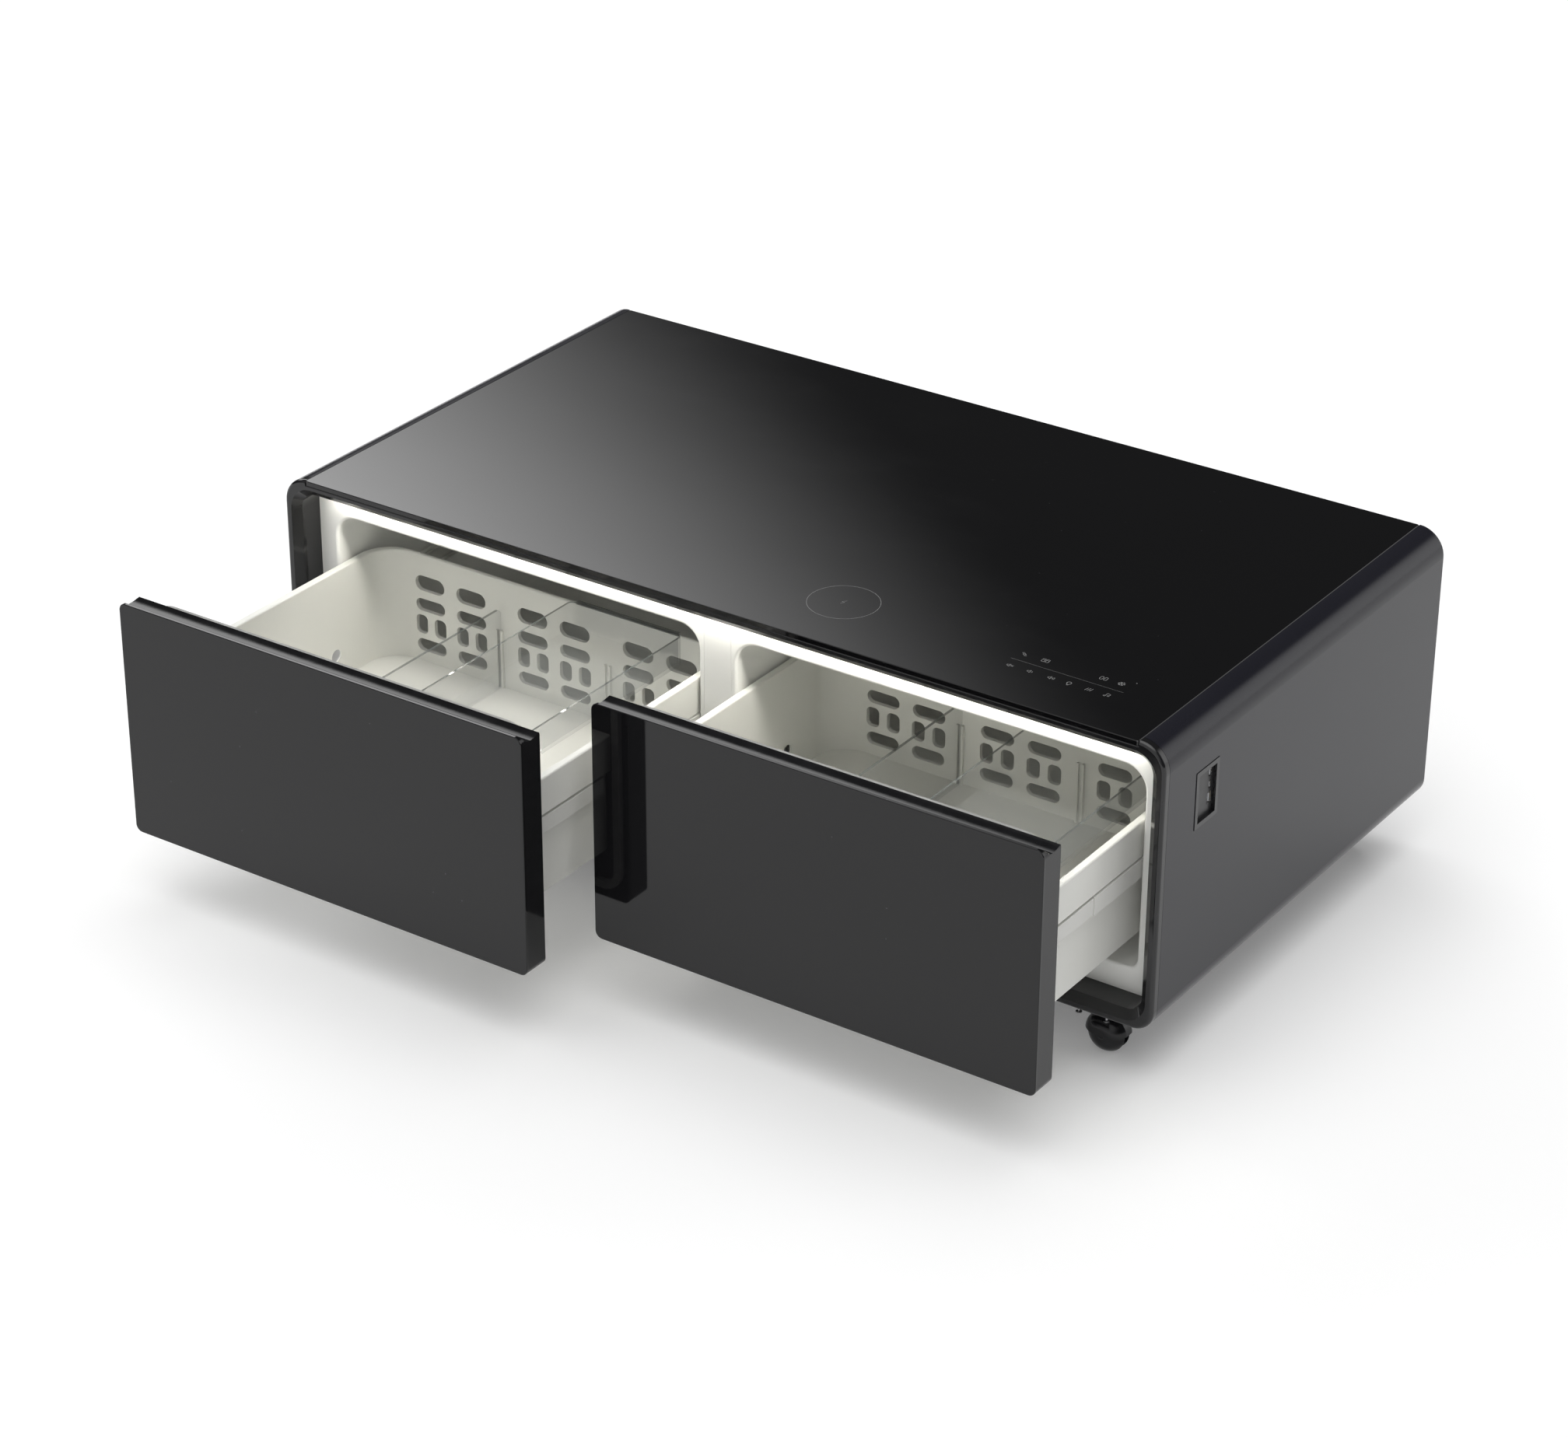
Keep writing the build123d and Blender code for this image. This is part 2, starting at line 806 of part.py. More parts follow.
def make_door_core(side):
    """The foam core of a door, between its glass and its back plate."""
    with BuildPart() as door_core:
        with BuildSketch(facing(front - openings[side] + door_glass_thickness)):
            door_sketch(sides[side], door_rim_wall + core_clearance, door_corner_radius / 2)
        extrude(amount=-(door_thickness - door_glass_thickness - door_back_plate))
    save(door_core.part, f"{side}_door_core")


def make_door_gasket(side):
    """The soft seal behind a door that meets the liner's face when the drawer is shut."""
    sign = sides[side]
    inner_grow = gasket_offset
    outer_grow = gasket_offset + gasket_width
    with BuildPart() as door_gasket:
        with BuildSketch(facing(front - openings[side] + door_thickness)):
            cavity_sketch(sign, outer_grow)
            cavity_sketch(sign, inner_grow, Mode.SUBTRACT)
        extrude(amount=-(recess_depth - door_thickness - gasket_squeeze))
    save(door_gasket.part, f"{side}_door_gasket")


def vent_centres():
    """Where the long vents stand across a drawer's back wall, from the drawer's centre."""
    half = vent_pitch / 2
    return [pair + vent for pair in (-vent_pair_pitch, 0, vent_pair_pitch) for vent in (-half, half)]


def make_drawer_box(side):
    """The white drawer box: sides stepped in under its rim, slotted back wall and ribs that hold the divider."""
    centre = sides[side] * cavity_centre
    near = front - openings[side] + door_thickness
    far = near + box_depth
    inner_low = near + box_end_wall
    inner_high = far - box_end_wall
    with BuildPart() as drawer_box:
        with BuildSketch(Plane.XY.offset(box_low)) as footprint:
            with Locations((centre, (near + far) / 2)):
                Rectangle(2 * box_half_width, box_depth)
            fillet(footprint.vertices().sort_by(Axis.Y)[-2:], box_back_radius)
        extrude(amount=box_height)
        with BuildSketch(Plane.XY.offset(floor_top)) as inside:
            with Locations((centre, (inner_low + inner_high) / 2)):
                Rectangle(2 * box_inner_half, inner_high - inner_low)
            fillet(inside.vertices().sort_by(Axis.Y)[-2:], box_inner_radius)
            fillet(inside.vertices().sort_by(Axis.Y)[:2], box_front_radius)
        extrude(amount=box_height, mode=Mode.SUBTRACT)
        top_face = drawer_box.faces().sort_by(Axis.Z)[-1]
        rim = top_face.edges().filter_by_position(Axis.Y, near + overcut, far + overcut)
        fillet(rim, box_rim_radius)
        for sign in sides.values():
            under_rim = sorted((centre + sign * slide_half, centre + sign * (box_half_width + overcut)))
            slab(under_rim, (near - overcut, far + overcut), (box_low - overcut, rim_low), Mode.SUBTRACT)
        with BuildSketch(facing(far)):
            for x in vent_centres():
                with Locations((centre + x, upper_vent_level)):
                    SlotOverall(vent_length, upper_vent_height)
                with Locations((centre + x, long_vent_level), (centre + x, low_vent_level)):
                    SlotOverall(vent_length, long_vent_height)
                with Locations((centre + x, short_vent_level)):
                    with GridLocations(2 * short_vent_offset, 0, 2, 1):
                        RectangleRounded(short_vent_width, short_vent_height, short_vent_radius)
        extrude(amount=2 * box_end_wall, both=True, mode=Mode.SUBTRACT)
        with Locations(Location((centre - box_half_width, front - openings[side] + drain_setback, drain_level),
                                (0, 90, 0))):
            Cylinder(drain_diameter / 2, 3 * box_side_wall, mode=Mode.SUBTRACT)
        rib_shift = divider_thickness / 2 + divider_clearance + rib_width / 2
        for x in (-divider_offset - rib_shift, -divider_offset + rib_shift,
                  divider_offset - rib_shift, divider_offset + rib_shift):
            span = (centre + x - rib_width / 2, centre + x + rib_width / 2)
            slab(span, (inner_low, inner_low + rib_depth), (floor_top, rib_top))
            slab(span, (inner_high - rib_depth, inner_high), (floor_top, rib_top))
    save(drawer_box.part, f"{side}_drawer_box")


def make_drawer_divider(side):
    """The clear plate that stands between two pairs of ribs."""
    centre = sides[side] * cavity_centre - divider_offset
    near = front - openings[side] + door_thickness + box_end_wall
    far = near + box_depth - 2 * box_end_wall
    with BuildPart() as drawer_divider:
        slab(
            (centre - divider_thickness / 2, centre + divider_thickness / 2),
            (near + divider_clearance, far - divider_clearance),
            (floor_top, divider_top),
        )
        fillet(drawer_divider.edges().filter_by(Axis.X).sort_by(Axis.Z)[-2:], divider_corner_radius)
    save(drawer_divider.part, f"{side}_drawer_divider")


def make_drawer_tray(side):
    """The clear tray that hangs by two lips on the box's front and back rims."""
    centre = sides[side] * cavity_centre + tray_shifts[side]
    near = front - openings[side] + door_thickness
    far = near + box_depth
    half = tray_width / 2
    wall_near = near + box_end_wall + tray_end_gap
    wall_far = far - box_end_wall - tray_end_gap
    with BuildPart() as drawer_tray:
        with BuildSketch(Plane.XY.offset(tray_low)):
            with Locations((centre, (wall_near + wall_far) / 2)):
                RectangleRounded(tray_width, wall_far - wall_near, tray_corner_radius)
        extrude(amount=tray_top - tray_low)
        slab(
            (centre - half + tray_corner_radius, centre + half - tray_corner_radius),
            (near + tray_lip_clearance, far - tray_lip_clearance),
            (tray_top - tray_lip, tray_top),
        )
        with BuildSketch(Plane.XY.offset(tray_low + tray_wall)):
            with Locations((centre, (wall_near + wall_far) / 2)):
                RectangleRounded(
                    tray_width - 2 * tray_wall, wall_far - wall_near - 2 * tray_wall, tray_corner_radius - tray_wall
                )
        extrude(amount=tray_top - tray_low, mode=Mode.SUBTRACT)
    save(drawer_tray.part, f"{side}_drawer_tray")


def slide_section(wall_x, inward, member):
    """A slide member's section beside a cavity wall: a folded channel that opens inwards, or a solid bar."""
    outer, inner, half_height, hollow = member
    x0, x1 = sorted((wall_x + inward * outer, wall_x + inward * inner))
    with Locations(((x0 + x1) / 2, slide_level)):
        Rectangle(x1 - x0, 2 * half_height)
    if hollow:
        with Locations(((x0 + x1) / 2 + inward * slide_sheet, slide_level)):
            Rectangle(x1 - x0, 2 * (half_height - slide_sheet), mode=Mode.SUBTRACT)


def make_slides(side, name, member, shift):
    """One member of the slides on both sides of a drawer, moved towards the front by a shift."""
    centre = sides[side] * cavity_centre
    near = recess_back + slide_setback - shift
    with BuildPart() as slides:
        for sign in sides.values():
            with BuildSketch(facing(near)):
                slide_section(centre + sign * cavity_half_width, -sign, member)
            extrude(amount=-slide_length)
    save(slides.part, f"{side}_{name}_slides")


def make_drawer_slides(side):
    """The fixed and middle channels and the drawer's bar, nested one inside the other."""
    step = slide_sheet + slide_gap
    opening = openings[side]
    make_slides(side, "fixed", (0, outer_flange, slide_half_height, True), 0)
    make_slides(side, "middle", (step, middle_flange, slide_half_height - step, True), opening / 2)
    make_slides(side, "inner", (2 * step, slide_total, slide_half_height - 2 * step, False), opening)


def make_compressor():
    """The sealed compressor can on its foot plate."""
    plate_low = pan_high + mount_height
    with BuildPart() as compressor:
        with Locations((compressor_x, compressor_y, plate_low + foot_plate_thickness + compressor_height / 2)):
            Cylinder(compressor_radius, compressor_height)
        fillet(compressor.edges().filter_by(GeomType.CIRCLE), compressor_fillet)
        with BuildSketch(Plane.XY.offset(plate_low)):
            with Locations((compressor_x, compressor_y)):
                RectangleRounded(foot_plate_width, foot_plate_depth, mount_edge)
        extrude(amount=foot_plate_thickness)
        with Locations((compressor_x, compressor_y, plate_low + compressor_fillet)):
            Cylinder(compressor_radius - compressor_fillet, 2 * compressor_fillet - foot_plate_thickness)
    save(compressor.part, "compressor")


def mount_places():
    """Where the compressor's rubber mounts stand."""
    across = foot_plate_width / 2 - mount_edge
    along = foot_plate_depth / 2 - mount_edge
    return [(compressor_x + i * across, compressor_y + j * along) for i in (-1, 1) for j in (-1, 1)]


def make_compressor_mounts():
    """Four waisted rubber mounts between the pan and the foot plate."""
    with BuildPart() as compressor_mounts:
        with Locations(*[(x, y, pan_high + mount_height / 2) for x, y in mount_places()]):
            Cylinder(mount_radius, mount_height)
            Torus(mount_radius, mount_height / 5, mode=Mode.SUBTRACT)
    save(compressor_mounts.part, "compressor_mounts")


def fan_level():
    """The height of the fan's axis."""
    return pan_high + fan_size / 2


def make_fan_frame():
    """The square fan frame, with the motor held on four struts."""
    rear = fan_x - fan_depth / 2
    with BuildPart() as fan_frame:
        with Locations((fan_x, bay_middle, fan_level())):
            Box(fan_depth, fan_size, fan_size)
        fillet(fan_frame.edges().filter_by(Axis.X), fan_strut)
        with Locations(Location((fan_x, bay_middle, fan_level()), (0, 90, 0))):
            Cylinder(fan_bore_radius, 2 * fan_depth, mode=Mode.SUBTRACT)
        with Locations((rear + fan_strut / 2, bay_middle, fan_level())):
            Box(fan_strut, fan_size - fan_strut, fan_strut)
            Box(fan_strut, fan_strut, fan_size - fan_strut)
        with Locations(Location((rear + fan_motor_depth / 2, bay_middle, fan_level()), (0, 90, 0))):
            Cylinder(fan_motor_radius, fan_motor_depth)
        with Locations(Location((rear + fan_depth / 2, bay_middle, fan_level()), (0, 90, 0))):
            Cylinder(fan_shaft_radius, fan_depth)
    save(fan_frame.part, "fan_frame")


def make_fan_impeller():
    """The hub and its pitched blades, running on the motor's shaft."""
    rear = fan_x - fan_depth / 2 + fan_motor_depth + fan_end_gap
    hub_depth = fan_depth - fan_motor_depth - 2 * fan_end_gap
    middle = rear + hub_depth / 2
    reach = fan_blade_radius - fan_hub_radius / 2
    with BuildPart() as fan_impeller:
        with Locations(Location((middle, bay_middle, fan_level()), (0, 90, 0))):
            Cylinder(fan_hub_radius, hub_depth)
        for i in range(fan_blades):
            turn = Location((middle, bay_middle, fan_level()), (360 * i / fan_blades, 0, 0))
            blade = Location((0, 0, fan_hub_radius / 2 + reach / 2), (0, 0, fan_blade_pitch))
            with Locations(turn * blade):
                Box(fan_blade_thickness, hub_depth * 1.1, reach)
        with Locations(Location((middle, bay_middle, fan_level()), (0, 90, 0))):
            Cylinder(fan_shaft_radius + fan_running_gap, 2 * fan_depth, mode=Mode.SUBTRACT)
    save(fan_impeller.part, "fan_impeller")


def make_condenser():
    """The finned condenser block that the fan blows through."""
    middle = pan_high + condenser_height / 2
    span = (condenser_fins - 1) * fin_pitch
    with BuildPart() as condenser:
        with Locations((condenser_x, bay_middle, middle)):
            with GridLocations(condenser_width, fin_pitch, 1, condenser_fins):
                Box(condenser_width, fin_thickness, condenser_height)
        tubes = [
            Location((x, bay_middle, middle + j * condenser_height / 5), (90, 0, 0))
            for x in (condenser_x - condenser_width / 4, condenser_x + condenser_width / 4)
            for j in (-2, -1, 0, 1, 2)
        ]
        with Locations(*tubes):
            Cylinder(condenser_tube_radius, span + 2 * fin_pitch)
    save(condenser.part, "condenser")


def make_refrigerant_pipes():
    """The discharge pipe to the condenser and the suction pipe from the foam wall."""
    top = pan_high + mount_height + foot_plate_thickness + compressor_height
    level = top + suction_drop
    condenser_top = pan_high + condenser_height
    side_y = compressor_y + suction_side
    with BuildPart() as refrigerant_pipes:
        with BuildLine() as discharge:
            FilletPolyline(
                (compressor_x + suction_side, compressor_y, top),
                (compressor_x + suction_side, compressor_y, level),
                (condenser_x, compressor_y, level),
                (condenser_x, compressor_y, condenser_top),
                radius=pipe_bend,
            )
        with BuildSketch(Plane(origin=discharge.line @ 0, z_dir=discharge.line % 0)):
            Circle(pipe_radius)
        sweep(path=discharge.line)
        with BuildLine() as suction:
            FilletPolyline(
                (compressor_x - suction_side, compressor_y, top),
                (compressor_x - suction_side, compressor_y, level),
                (compressor_x - suction_side, foam_back, level),
                radius=pipe_bend,
            )
        with BuildSketch(Plane(origin=suction.line @ 0, z_dir=suction.line % 0)):
            Circle(pipe_radius)
        sweep(path=suction.line)
    save(refrigerant_pipes.part, "refrigerant_pipes")


def make_control_board():
    """The control board on four posts against the foam's rear face."""
    post_x = board_width / 2 - 2 * board_post_radius
    post_z = board_height / 2 - 2 * board_post_radius
    with BuildPart() as control_board:
        slab(
            (board_x - board_width / 2, board_x + board_width / 2),
            (foam_back + board_standoff, foam_back + board_standoff + board_thickness),
            (board_level - board_height / 2, board_level + board_height / 2),
        )
        posts = [
            Location((board_x + i * post_x, foam_back + board_standoff / 2, board_level + j * post_z), (90, 0, 0))
            for i in (-1, 1)
            for j in (-1, 1)
        ]
        with Locations(*posts):
            Cylinder(board_post_radius, board_standoff)
        parts_rear = foam_back + board_standoff + board_thickness
        for x, z, wide, tall, deep in board_parts:
            slab(
                (board_x + x - wide / 2, board_x + x + wide / 2),
                (parts_rear, parts_rear + deep),
                (board_level + z - tall / 2, board_level + z + tall / 2),
            )
    save(control_board.part, "control_board")


def make_speakers():
    """Two round speaker drivers that face the back panel's grilles."""
    with BuildPart() as speakers:
        for x in (-speaker_x, speaker_x):
            with BuildSketch(Plane((x, back_sheet_front, speaker_level), x_dir=(1, 0, 0), z_dir=(0, -1, 0))):
                Circle(speaker_radius)
            extrude(amount=sheet * 2)
            with BuildSketch(Plane((x, back_sheet_front - sheet * 2, speaker_level), x_dir=(1, 0, 0),
                                   z_dir=(0, -1, 0))):
                Circle(speaker_radius - speaker_rim / 2)
            with BuildSketch(Plane((x, back_sheet_front - speaker_depth * 0.6, speaker_level), x_dir=(1, 0, 0),
                                   z_dir=(0, -1, 0))):
                Circle(speaker_radius / 2)
            loft()
            with BuildSketch(Plane((x, back_sheet_front - speaker_depth * 0.6, speaker_level), x_dir=(1, 0, 0),
                                   z_dir=(0, -1, 0))):
                Circle(speaker_radius * 0.6)
            extrude(amount=speaker_depth * 0.4)
            with BuildSketch(Plane((x, back_sheet_front, speaker_level), x_dir=(1, 0, 0), z_dir=(0, -1, 0))):
                Circle(speaker_radius - speaker_rim)
            extrude(amount=speaker_depth * 0.5, taper=30, mode=Mode.SUBTRACT)
    save(speakers.part, "speakers")


def make_power_inlet():
    """The three-pin power inlet in the back panel."""
    with BuildPart() as power_inlet:
        slab(
            (inlet_x - inlet_width / 2 - inlet_flange, inlet_x + inlet_width / 2 + inlet_flange),
            (back_sheet_rear, back_sheet_rear + inlet_flange_thickness),
            (inlet_level - inlet_height / 2 - inlet_flange, inlet_level + inlet_height / 2 + inlet_flange),
        )
        slab(
            (inlet_x - inlet_width / 2 + seam / 2, inlet_x + inlet_width / 2 - seam / 2),
            (back_sheet_rear - inlet_depth, back_sheet_rear),
            (inlet_level - inlet_height / 2 + seam / 2, inlet_level + inlet_height / 2 - seam / 2),
        )
        mouth_rear = back_sheet_rear + inlet_flange_thickness
        slab(
            (inlet_x - inlet_mouth_width / 2, inlet_x + inlet_mouth_width / 2),
            (mouth_rear - inlet_mouth_depth, mouth_rear),
            (inlet_level - inlet_mouth_height / 2, inlet_level + inlet_mouth_height / 2),
            Mode.SUBTRACT,
        )
        for x, z in ((-inlet_pin_pitch, -inlet_pin_offset), (inlet_pin_pitch, -inlet_pin_offset),
                     (0, inlet_pin_offset)):
            slab(
                (inlet_x + x - inlet_pin_width / 2, inlet_x + x + inlet_pin_width / 2),
                (mouth_rear - inlet_mouth_depth, mouth_rear - inlet_mouth_depth + inlet_pin_length),
                (inlet_level + z - inlet_pin_height / 2, inlet_level + z + inlet_pin_height / 2),
            )
    save(power_inlet.part, "power_inlet")


def make_screws():
    """The back panel's screws and the castor plates' screws."""
    rear_places = [(sign * panel_screw_x(), z) for sign in (-1, 1) for z in panel_screw_levels]
    rear_places += [(x, pan_high + pan_flange_height / 2) for x in pan_screw_places()]
    head_low = pan_low - castor_sheet()
    with BuildPart() as screws:
        with Locations(*[Location((x, back_sheet_rear + screw_head_height / 2, z), (90, 0, 0))
                         for x, z in rear_places]):
            Cylinder(screw_head_radius, screw_head_height)
        with Locations(*[Location((x, back_sheet_rear - screw_length / 2, z), (90, 0, 0)) for x, z in rear_places]):
            Cylinder(screw_radius, screw_length)
        with Locations(*[(x, y, head_low - screw_head_height / 2) for x, y in castor_screw_places()]):
            Cylinder(screw_head_radius, screw_head_height)
        with Locations(*[(x, y, (head_low + pan_high) / 2) for x, y in castor_screw_places()]):
            Cylinder(screw_radius, pan_high - head_low)
    save(screws.part, "screws")


def castor_sheet():
    """The thickness of a castor's plate, which fills the step under the pan."""
    return skin


def make_castor_plate(name, x, y):
    """The castor's fixed plate, with its neck and its swivel pin."""
    plate_low = pan_low - castor_sheet()
    neck_low = boss_top + swivel_gap
    with BuildPart() as castor_plate_piece:
        with BuildSketch(Plane.XY.offset(plate_low)):
            with Locations((x, y)):
                RectangleRounded(castor_plate, castor_plate, boss_radius / 3)
                with GridLocations(castor_plate_hole_pitch, castor_plate_hole_pitch, 2, 2):
                    Circle(screw_hole_radius, mode=Mode.SUBTRACT)
        extrude(amount=castor_sheet())
        with BuildSketch(Plane.XY.offset(neck_low)):
            with Locations((x, y)):
                Circle(neck_radius)
        extrude(amount=plate_low - neck_low)
        with BuildSketch(Plane.XY.offset(pin_bottom)):
            with Locations((x, y)):
                Circle(pin_radius)
        extrude(amount=neck_low - pin_bottom)
    save(castor_plate_piece.part, f"{name}_castor_plate")


def wheel_plane(x, axle_y):
    """The upright plane through a castor's axle, with its origin on the axle."""
    return Plane((x, axle_y, wheel_radius), x_dir=(1, 0, 0), z_dir=(0, -1, 0))


def wheel_lines(grow, inner_face):
    """Half of a crowned wheel's section above its axle, grown by a clearance."""
    Polyline(
        (wheel_outer_face + grow, 0),
        (inner_face, 0),
        (inner_face, wheel_radius + grow),
        (wheel_flat, wheel_radius + grow),
    )
    ThreePointArc(
        (wheel_flat, wheel_radius + grow),
        (wheel_shoulder_x + grow * 0.7, wheel_shoulder_radius + grow * 0.7),
        (wheel_outer_face + grow, wheel_face_radius),
    )
    Line((wheel_outer_face + grow, wheel_face_radius), (wheel_outer_face + grow, 0))


def turned(piece, x, y):
    """A castor's piece, turned about its swivel axis to where the table rolled from."""
    return piece.rotate(Axis((x, y, 0), (0, 0, 1)), castor_turn)


def make_castor_wheels(name, x, y):
    """The two crowned wheels on their axle."""
    axle_y = y + castor_trail
    axis = Axis((x, axle_y, wheel_radius), (1, 0, 0))
    with BuildPart() as castor_wheels:
        with BuildSketch(wheel_plane(x, axle_y)):
            with BuildLine():
                wheel_lines(0, wheel_inner_face)
            make_face()
        revolve(axis=axis)
        mirror(about=Plane.YZ.offset(x))
        with Locations(Location((x, axle_y, wheel_radius), (0, 90, 0))):
            Cylinder(axle_radius, 2 * wheel_outer_face)
    save(turned(castor_wheels.part, x, y), f"{name}_castor_wheels")


def make_castor_hood(name, x, y):
    """The swivelling hood over both wheels, with the web that holds the axle."""
    axle_y = y + castor_trail
    axis = Axis((x, axle_y, wheel_radius), (1, 0, 0))
    web_half = wheel_inner_face - hood_clearance / 2
    edge = wheel_radius + hood_low_edge
    reach = 2 * table_height
    with BuildPart() as castor_hood:
        with BuildSketch(wheel_plane(x, axle_y)):
            with BuildLine():
                wheel_lines(hood_clearance + hood_wall, 0)
            make_face()
        revolve(axis=axis)
        mirror(about=Plane.YZ.offset(x))
        slab((x - reach, x + reach), (y - reach, y + reach), (-reach, edge), Mode.SUBTRACT)
        with BuildSketch(Plane.XY.offset(edge)):
            with Locations((x, y)):
                Circle(boss_radius)
        extrude(amount=boss_top - edge)
        with BuildSketch(Plane((x - web_half, axle_y, wheel_radius), x_dir=(0, 1, 0), z_dir=(1, 0, 0))):
            Circle(wheel_radius - 3 * hood_clearance)
        extrude(amount=2 * web_half)
        with BuildSketch(wheel_plane(x, axle_y)):
            with BuildLine():
                wheel_lines(hood_clearance, web_half)
            make_face()
        revolve(axis=axis, mode=Mode.SUBTRACT)
        with BuildSketch(wheel_plane(x, axle_y)):
            with BuildLine():
                wheel_lines(hood_clearance, web_half)
            make_face()
            mirror(about=Plane.YZ, mode=Mode.REPLACE)
        revolve(axis=axis, mode=Mode.SUBTRACT)
        with Locations(Location((x, axle_y, wheel_radius), (0, 90, 0))):
            Cylinder(axle_radius + axle_gap, 4 * wheel_outer_face, mode=Mode.SUBTRACT)
        with BuildSketch(Plane.XY.offset(pin_bottom - swivel_gap)):
            with Locations((x, y)):
                Circle(pin_radius + pin_gap)
        extrude(amount=boss_top, mode=Mode.SUBTRACT)
    save(turned(castor_hood.part, x, y), f"{name}_castor_hood")


os.makedirs("parts", exist_ok=True)
make_front_trim_frame()
make_led_strip()
make_base_pan()
make_back_panel()
make_glass_top()
make_top_deck()
make_touch_board()
make_charging_coil()
make_mullion_cover()
make_evaporator_plates()
make_insulation_foam()
make_socket_bezel()
make_port_block()
make_compressor()
make_compressor_mounts()
make_fan_frame()
make_fan_impeller()
make_condenser()
make_refrigerant_pipes()
make_control_board()
make_speakers()
make_power_inlet()
make_screws()
for drawer_side in sides:
    make_side_panel(drawer_side)
    make_liner(drawer_side)
    make_door_glass(drawer_side)
    make_door_frame(drawer_side)
    make_door_core(drawer_side)
    make_door_gasket(drawer_side)
    make_drawer_box(drawer_side)
    make_drawer_divider(drawer_side)
    make_drawer_tray(drawer_side)
    make_drawer_slides(drawer_side)
for row, row_y in castor_rows.items():
    for column, column_sign in sides.items():
        castor_name = f"{row}_{column}"
        make_castor_plate(castor_name, column_sign * castor_x, row_y)
        make_castor_wheels(castor_name, column_sign * castor_x, row_y)
        make_castor_hood(castor_name, column_sign * castor_x, row_y)
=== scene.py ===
"""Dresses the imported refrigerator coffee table: finishes, printed marks, small fittings, studio and camera.

Metres, in the table's own frame: X to the right, Y to the back, Z up, origin on the floor under the cabinet.
"""

from math import cos, pi, radians, sin

import bmesh
import bpy
from bpy.props import FloatProperty, FloatVectorProperty, PointerProperty
from mathutils import Matrix, Vector


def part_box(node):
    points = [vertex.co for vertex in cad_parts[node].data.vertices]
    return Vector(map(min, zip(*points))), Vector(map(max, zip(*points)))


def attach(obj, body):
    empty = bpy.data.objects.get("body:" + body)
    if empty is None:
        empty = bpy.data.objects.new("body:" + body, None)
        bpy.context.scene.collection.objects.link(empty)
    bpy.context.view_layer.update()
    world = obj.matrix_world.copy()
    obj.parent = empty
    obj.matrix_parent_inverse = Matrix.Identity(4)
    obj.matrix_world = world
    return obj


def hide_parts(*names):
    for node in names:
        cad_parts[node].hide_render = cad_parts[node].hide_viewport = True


bl_info = {
    "name": "Refrigerator coffee table",
    "version": (1, 0, 0),
    "blender": (4, 5, 0),
    "location": "View3D > Sidebar > Coffee table",
    "description": "Finishes, printed marks, small fittings and a studio for the packed table",
    "category": "Object",
}

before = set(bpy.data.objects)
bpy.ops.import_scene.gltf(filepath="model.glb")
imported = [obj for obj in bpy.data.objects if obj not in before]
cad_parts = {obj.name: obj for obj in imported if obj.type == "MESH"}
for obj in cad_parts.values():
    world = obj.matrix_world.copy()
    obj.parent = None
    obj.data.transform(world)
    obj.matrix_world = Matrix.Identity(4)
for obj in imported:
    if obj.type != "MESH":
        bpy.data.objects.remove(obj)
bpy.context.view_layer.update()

# The photograph's frame and the camera that was fitted to the table's straight edges
PICTURE_WIDTH = 2016
FOCAL_PIXELS = 5340.2
SENSOR_WIDTH = 36.0
CAMERA_PLACE = (2.6152, -3.9910, 2.6709)
CAMERA_YAW = 0.599169
CAMERA_PITCH = 0.487753
CAMERA_ROLL = 0.004821

MM = 0.001
# Edges that turn by more than this many degrees are shaded sharp
SHARP_ANGLE = 35.0
SIDES = {"left": -1, "right": 1}
CASTORS = [f"{row}_{side}" for row in ("front", "rear") for side in SIDES]

# Places in millimetres: (x, y) for the marks and the compressor, (x, z) for what sits on the back
RING_CENTRE = (144, -246)
SYMBOL_LINE = ((387, -256), (540, -257))
FAR_ROW, NEAR_ROW = -239, -273
SPEAKER = (520, 250)
COMPRESSOR = (-400, 257.25)
COMPRESSOR_RADIUS = 62.0
FAN = (-210, 145)
INLET = (-560, 130)
INLET_PINS = ((-7, -4), (7, -4), (0, 4))

# The ports in the right side: their Y and their depth, then the level, width, height and corner radius of each
PORT_LINE = -233
PORT_DEPTH = 4.5
PORTS = ((369, 8, 12, 0.6), (352.5, 5, 10, 2.4), (335, 10, 14, 0.6))

# The screws: along the back panel's sides, along its foot, and at the corners of each castor's plate
SIDE_SCREW_X, SIDE_SCREW_LEVELS = 635, (131, 256, 381)
FOOT_SCREW_XS, FOOT_SCREW_LEVEL = (598, 358.8, 119.6), 82.5
CASTOR_XS, CASTOR_YS, CASTOR_SCREW_STEP = (-556, 556), (-304, 290), 19

# Profiles of turned pieces, as (radius, height)
SCREW_PROFILE = (
    (0, 2.1), (0.5, 2.1), (1.9, 2.0), (3.0, 1.6), (3.8, 0.9), (4.0, 0.2), (4.0, 0.02), (1.6, 0.02), (1.6, -8.0),
    (0, -8.6),
)
CONE_PROFILE = (
    (37.0, 0.0), (37.0, 0.5), (35.5, 1.0), (33.5, 1.2), (31.5, 1.0), (30.0, 0.4), (22.0, 0.15), (12.6, 0.1),
    (12.4, 0.5), (9.0, 0.95), (5.0, 1.2), (0.0, 1.3),
)
CAP_PROFILE = ((4.6, -1.6), (4.6, -0.3), (4.2, 0.0), (2.6, 0.0), (2.2, -0.35), (0.0, -0.35))
SOLDER_PROFILE = ((1.1, 0.0), (0.8, 0.5), (0.0, 0.8))


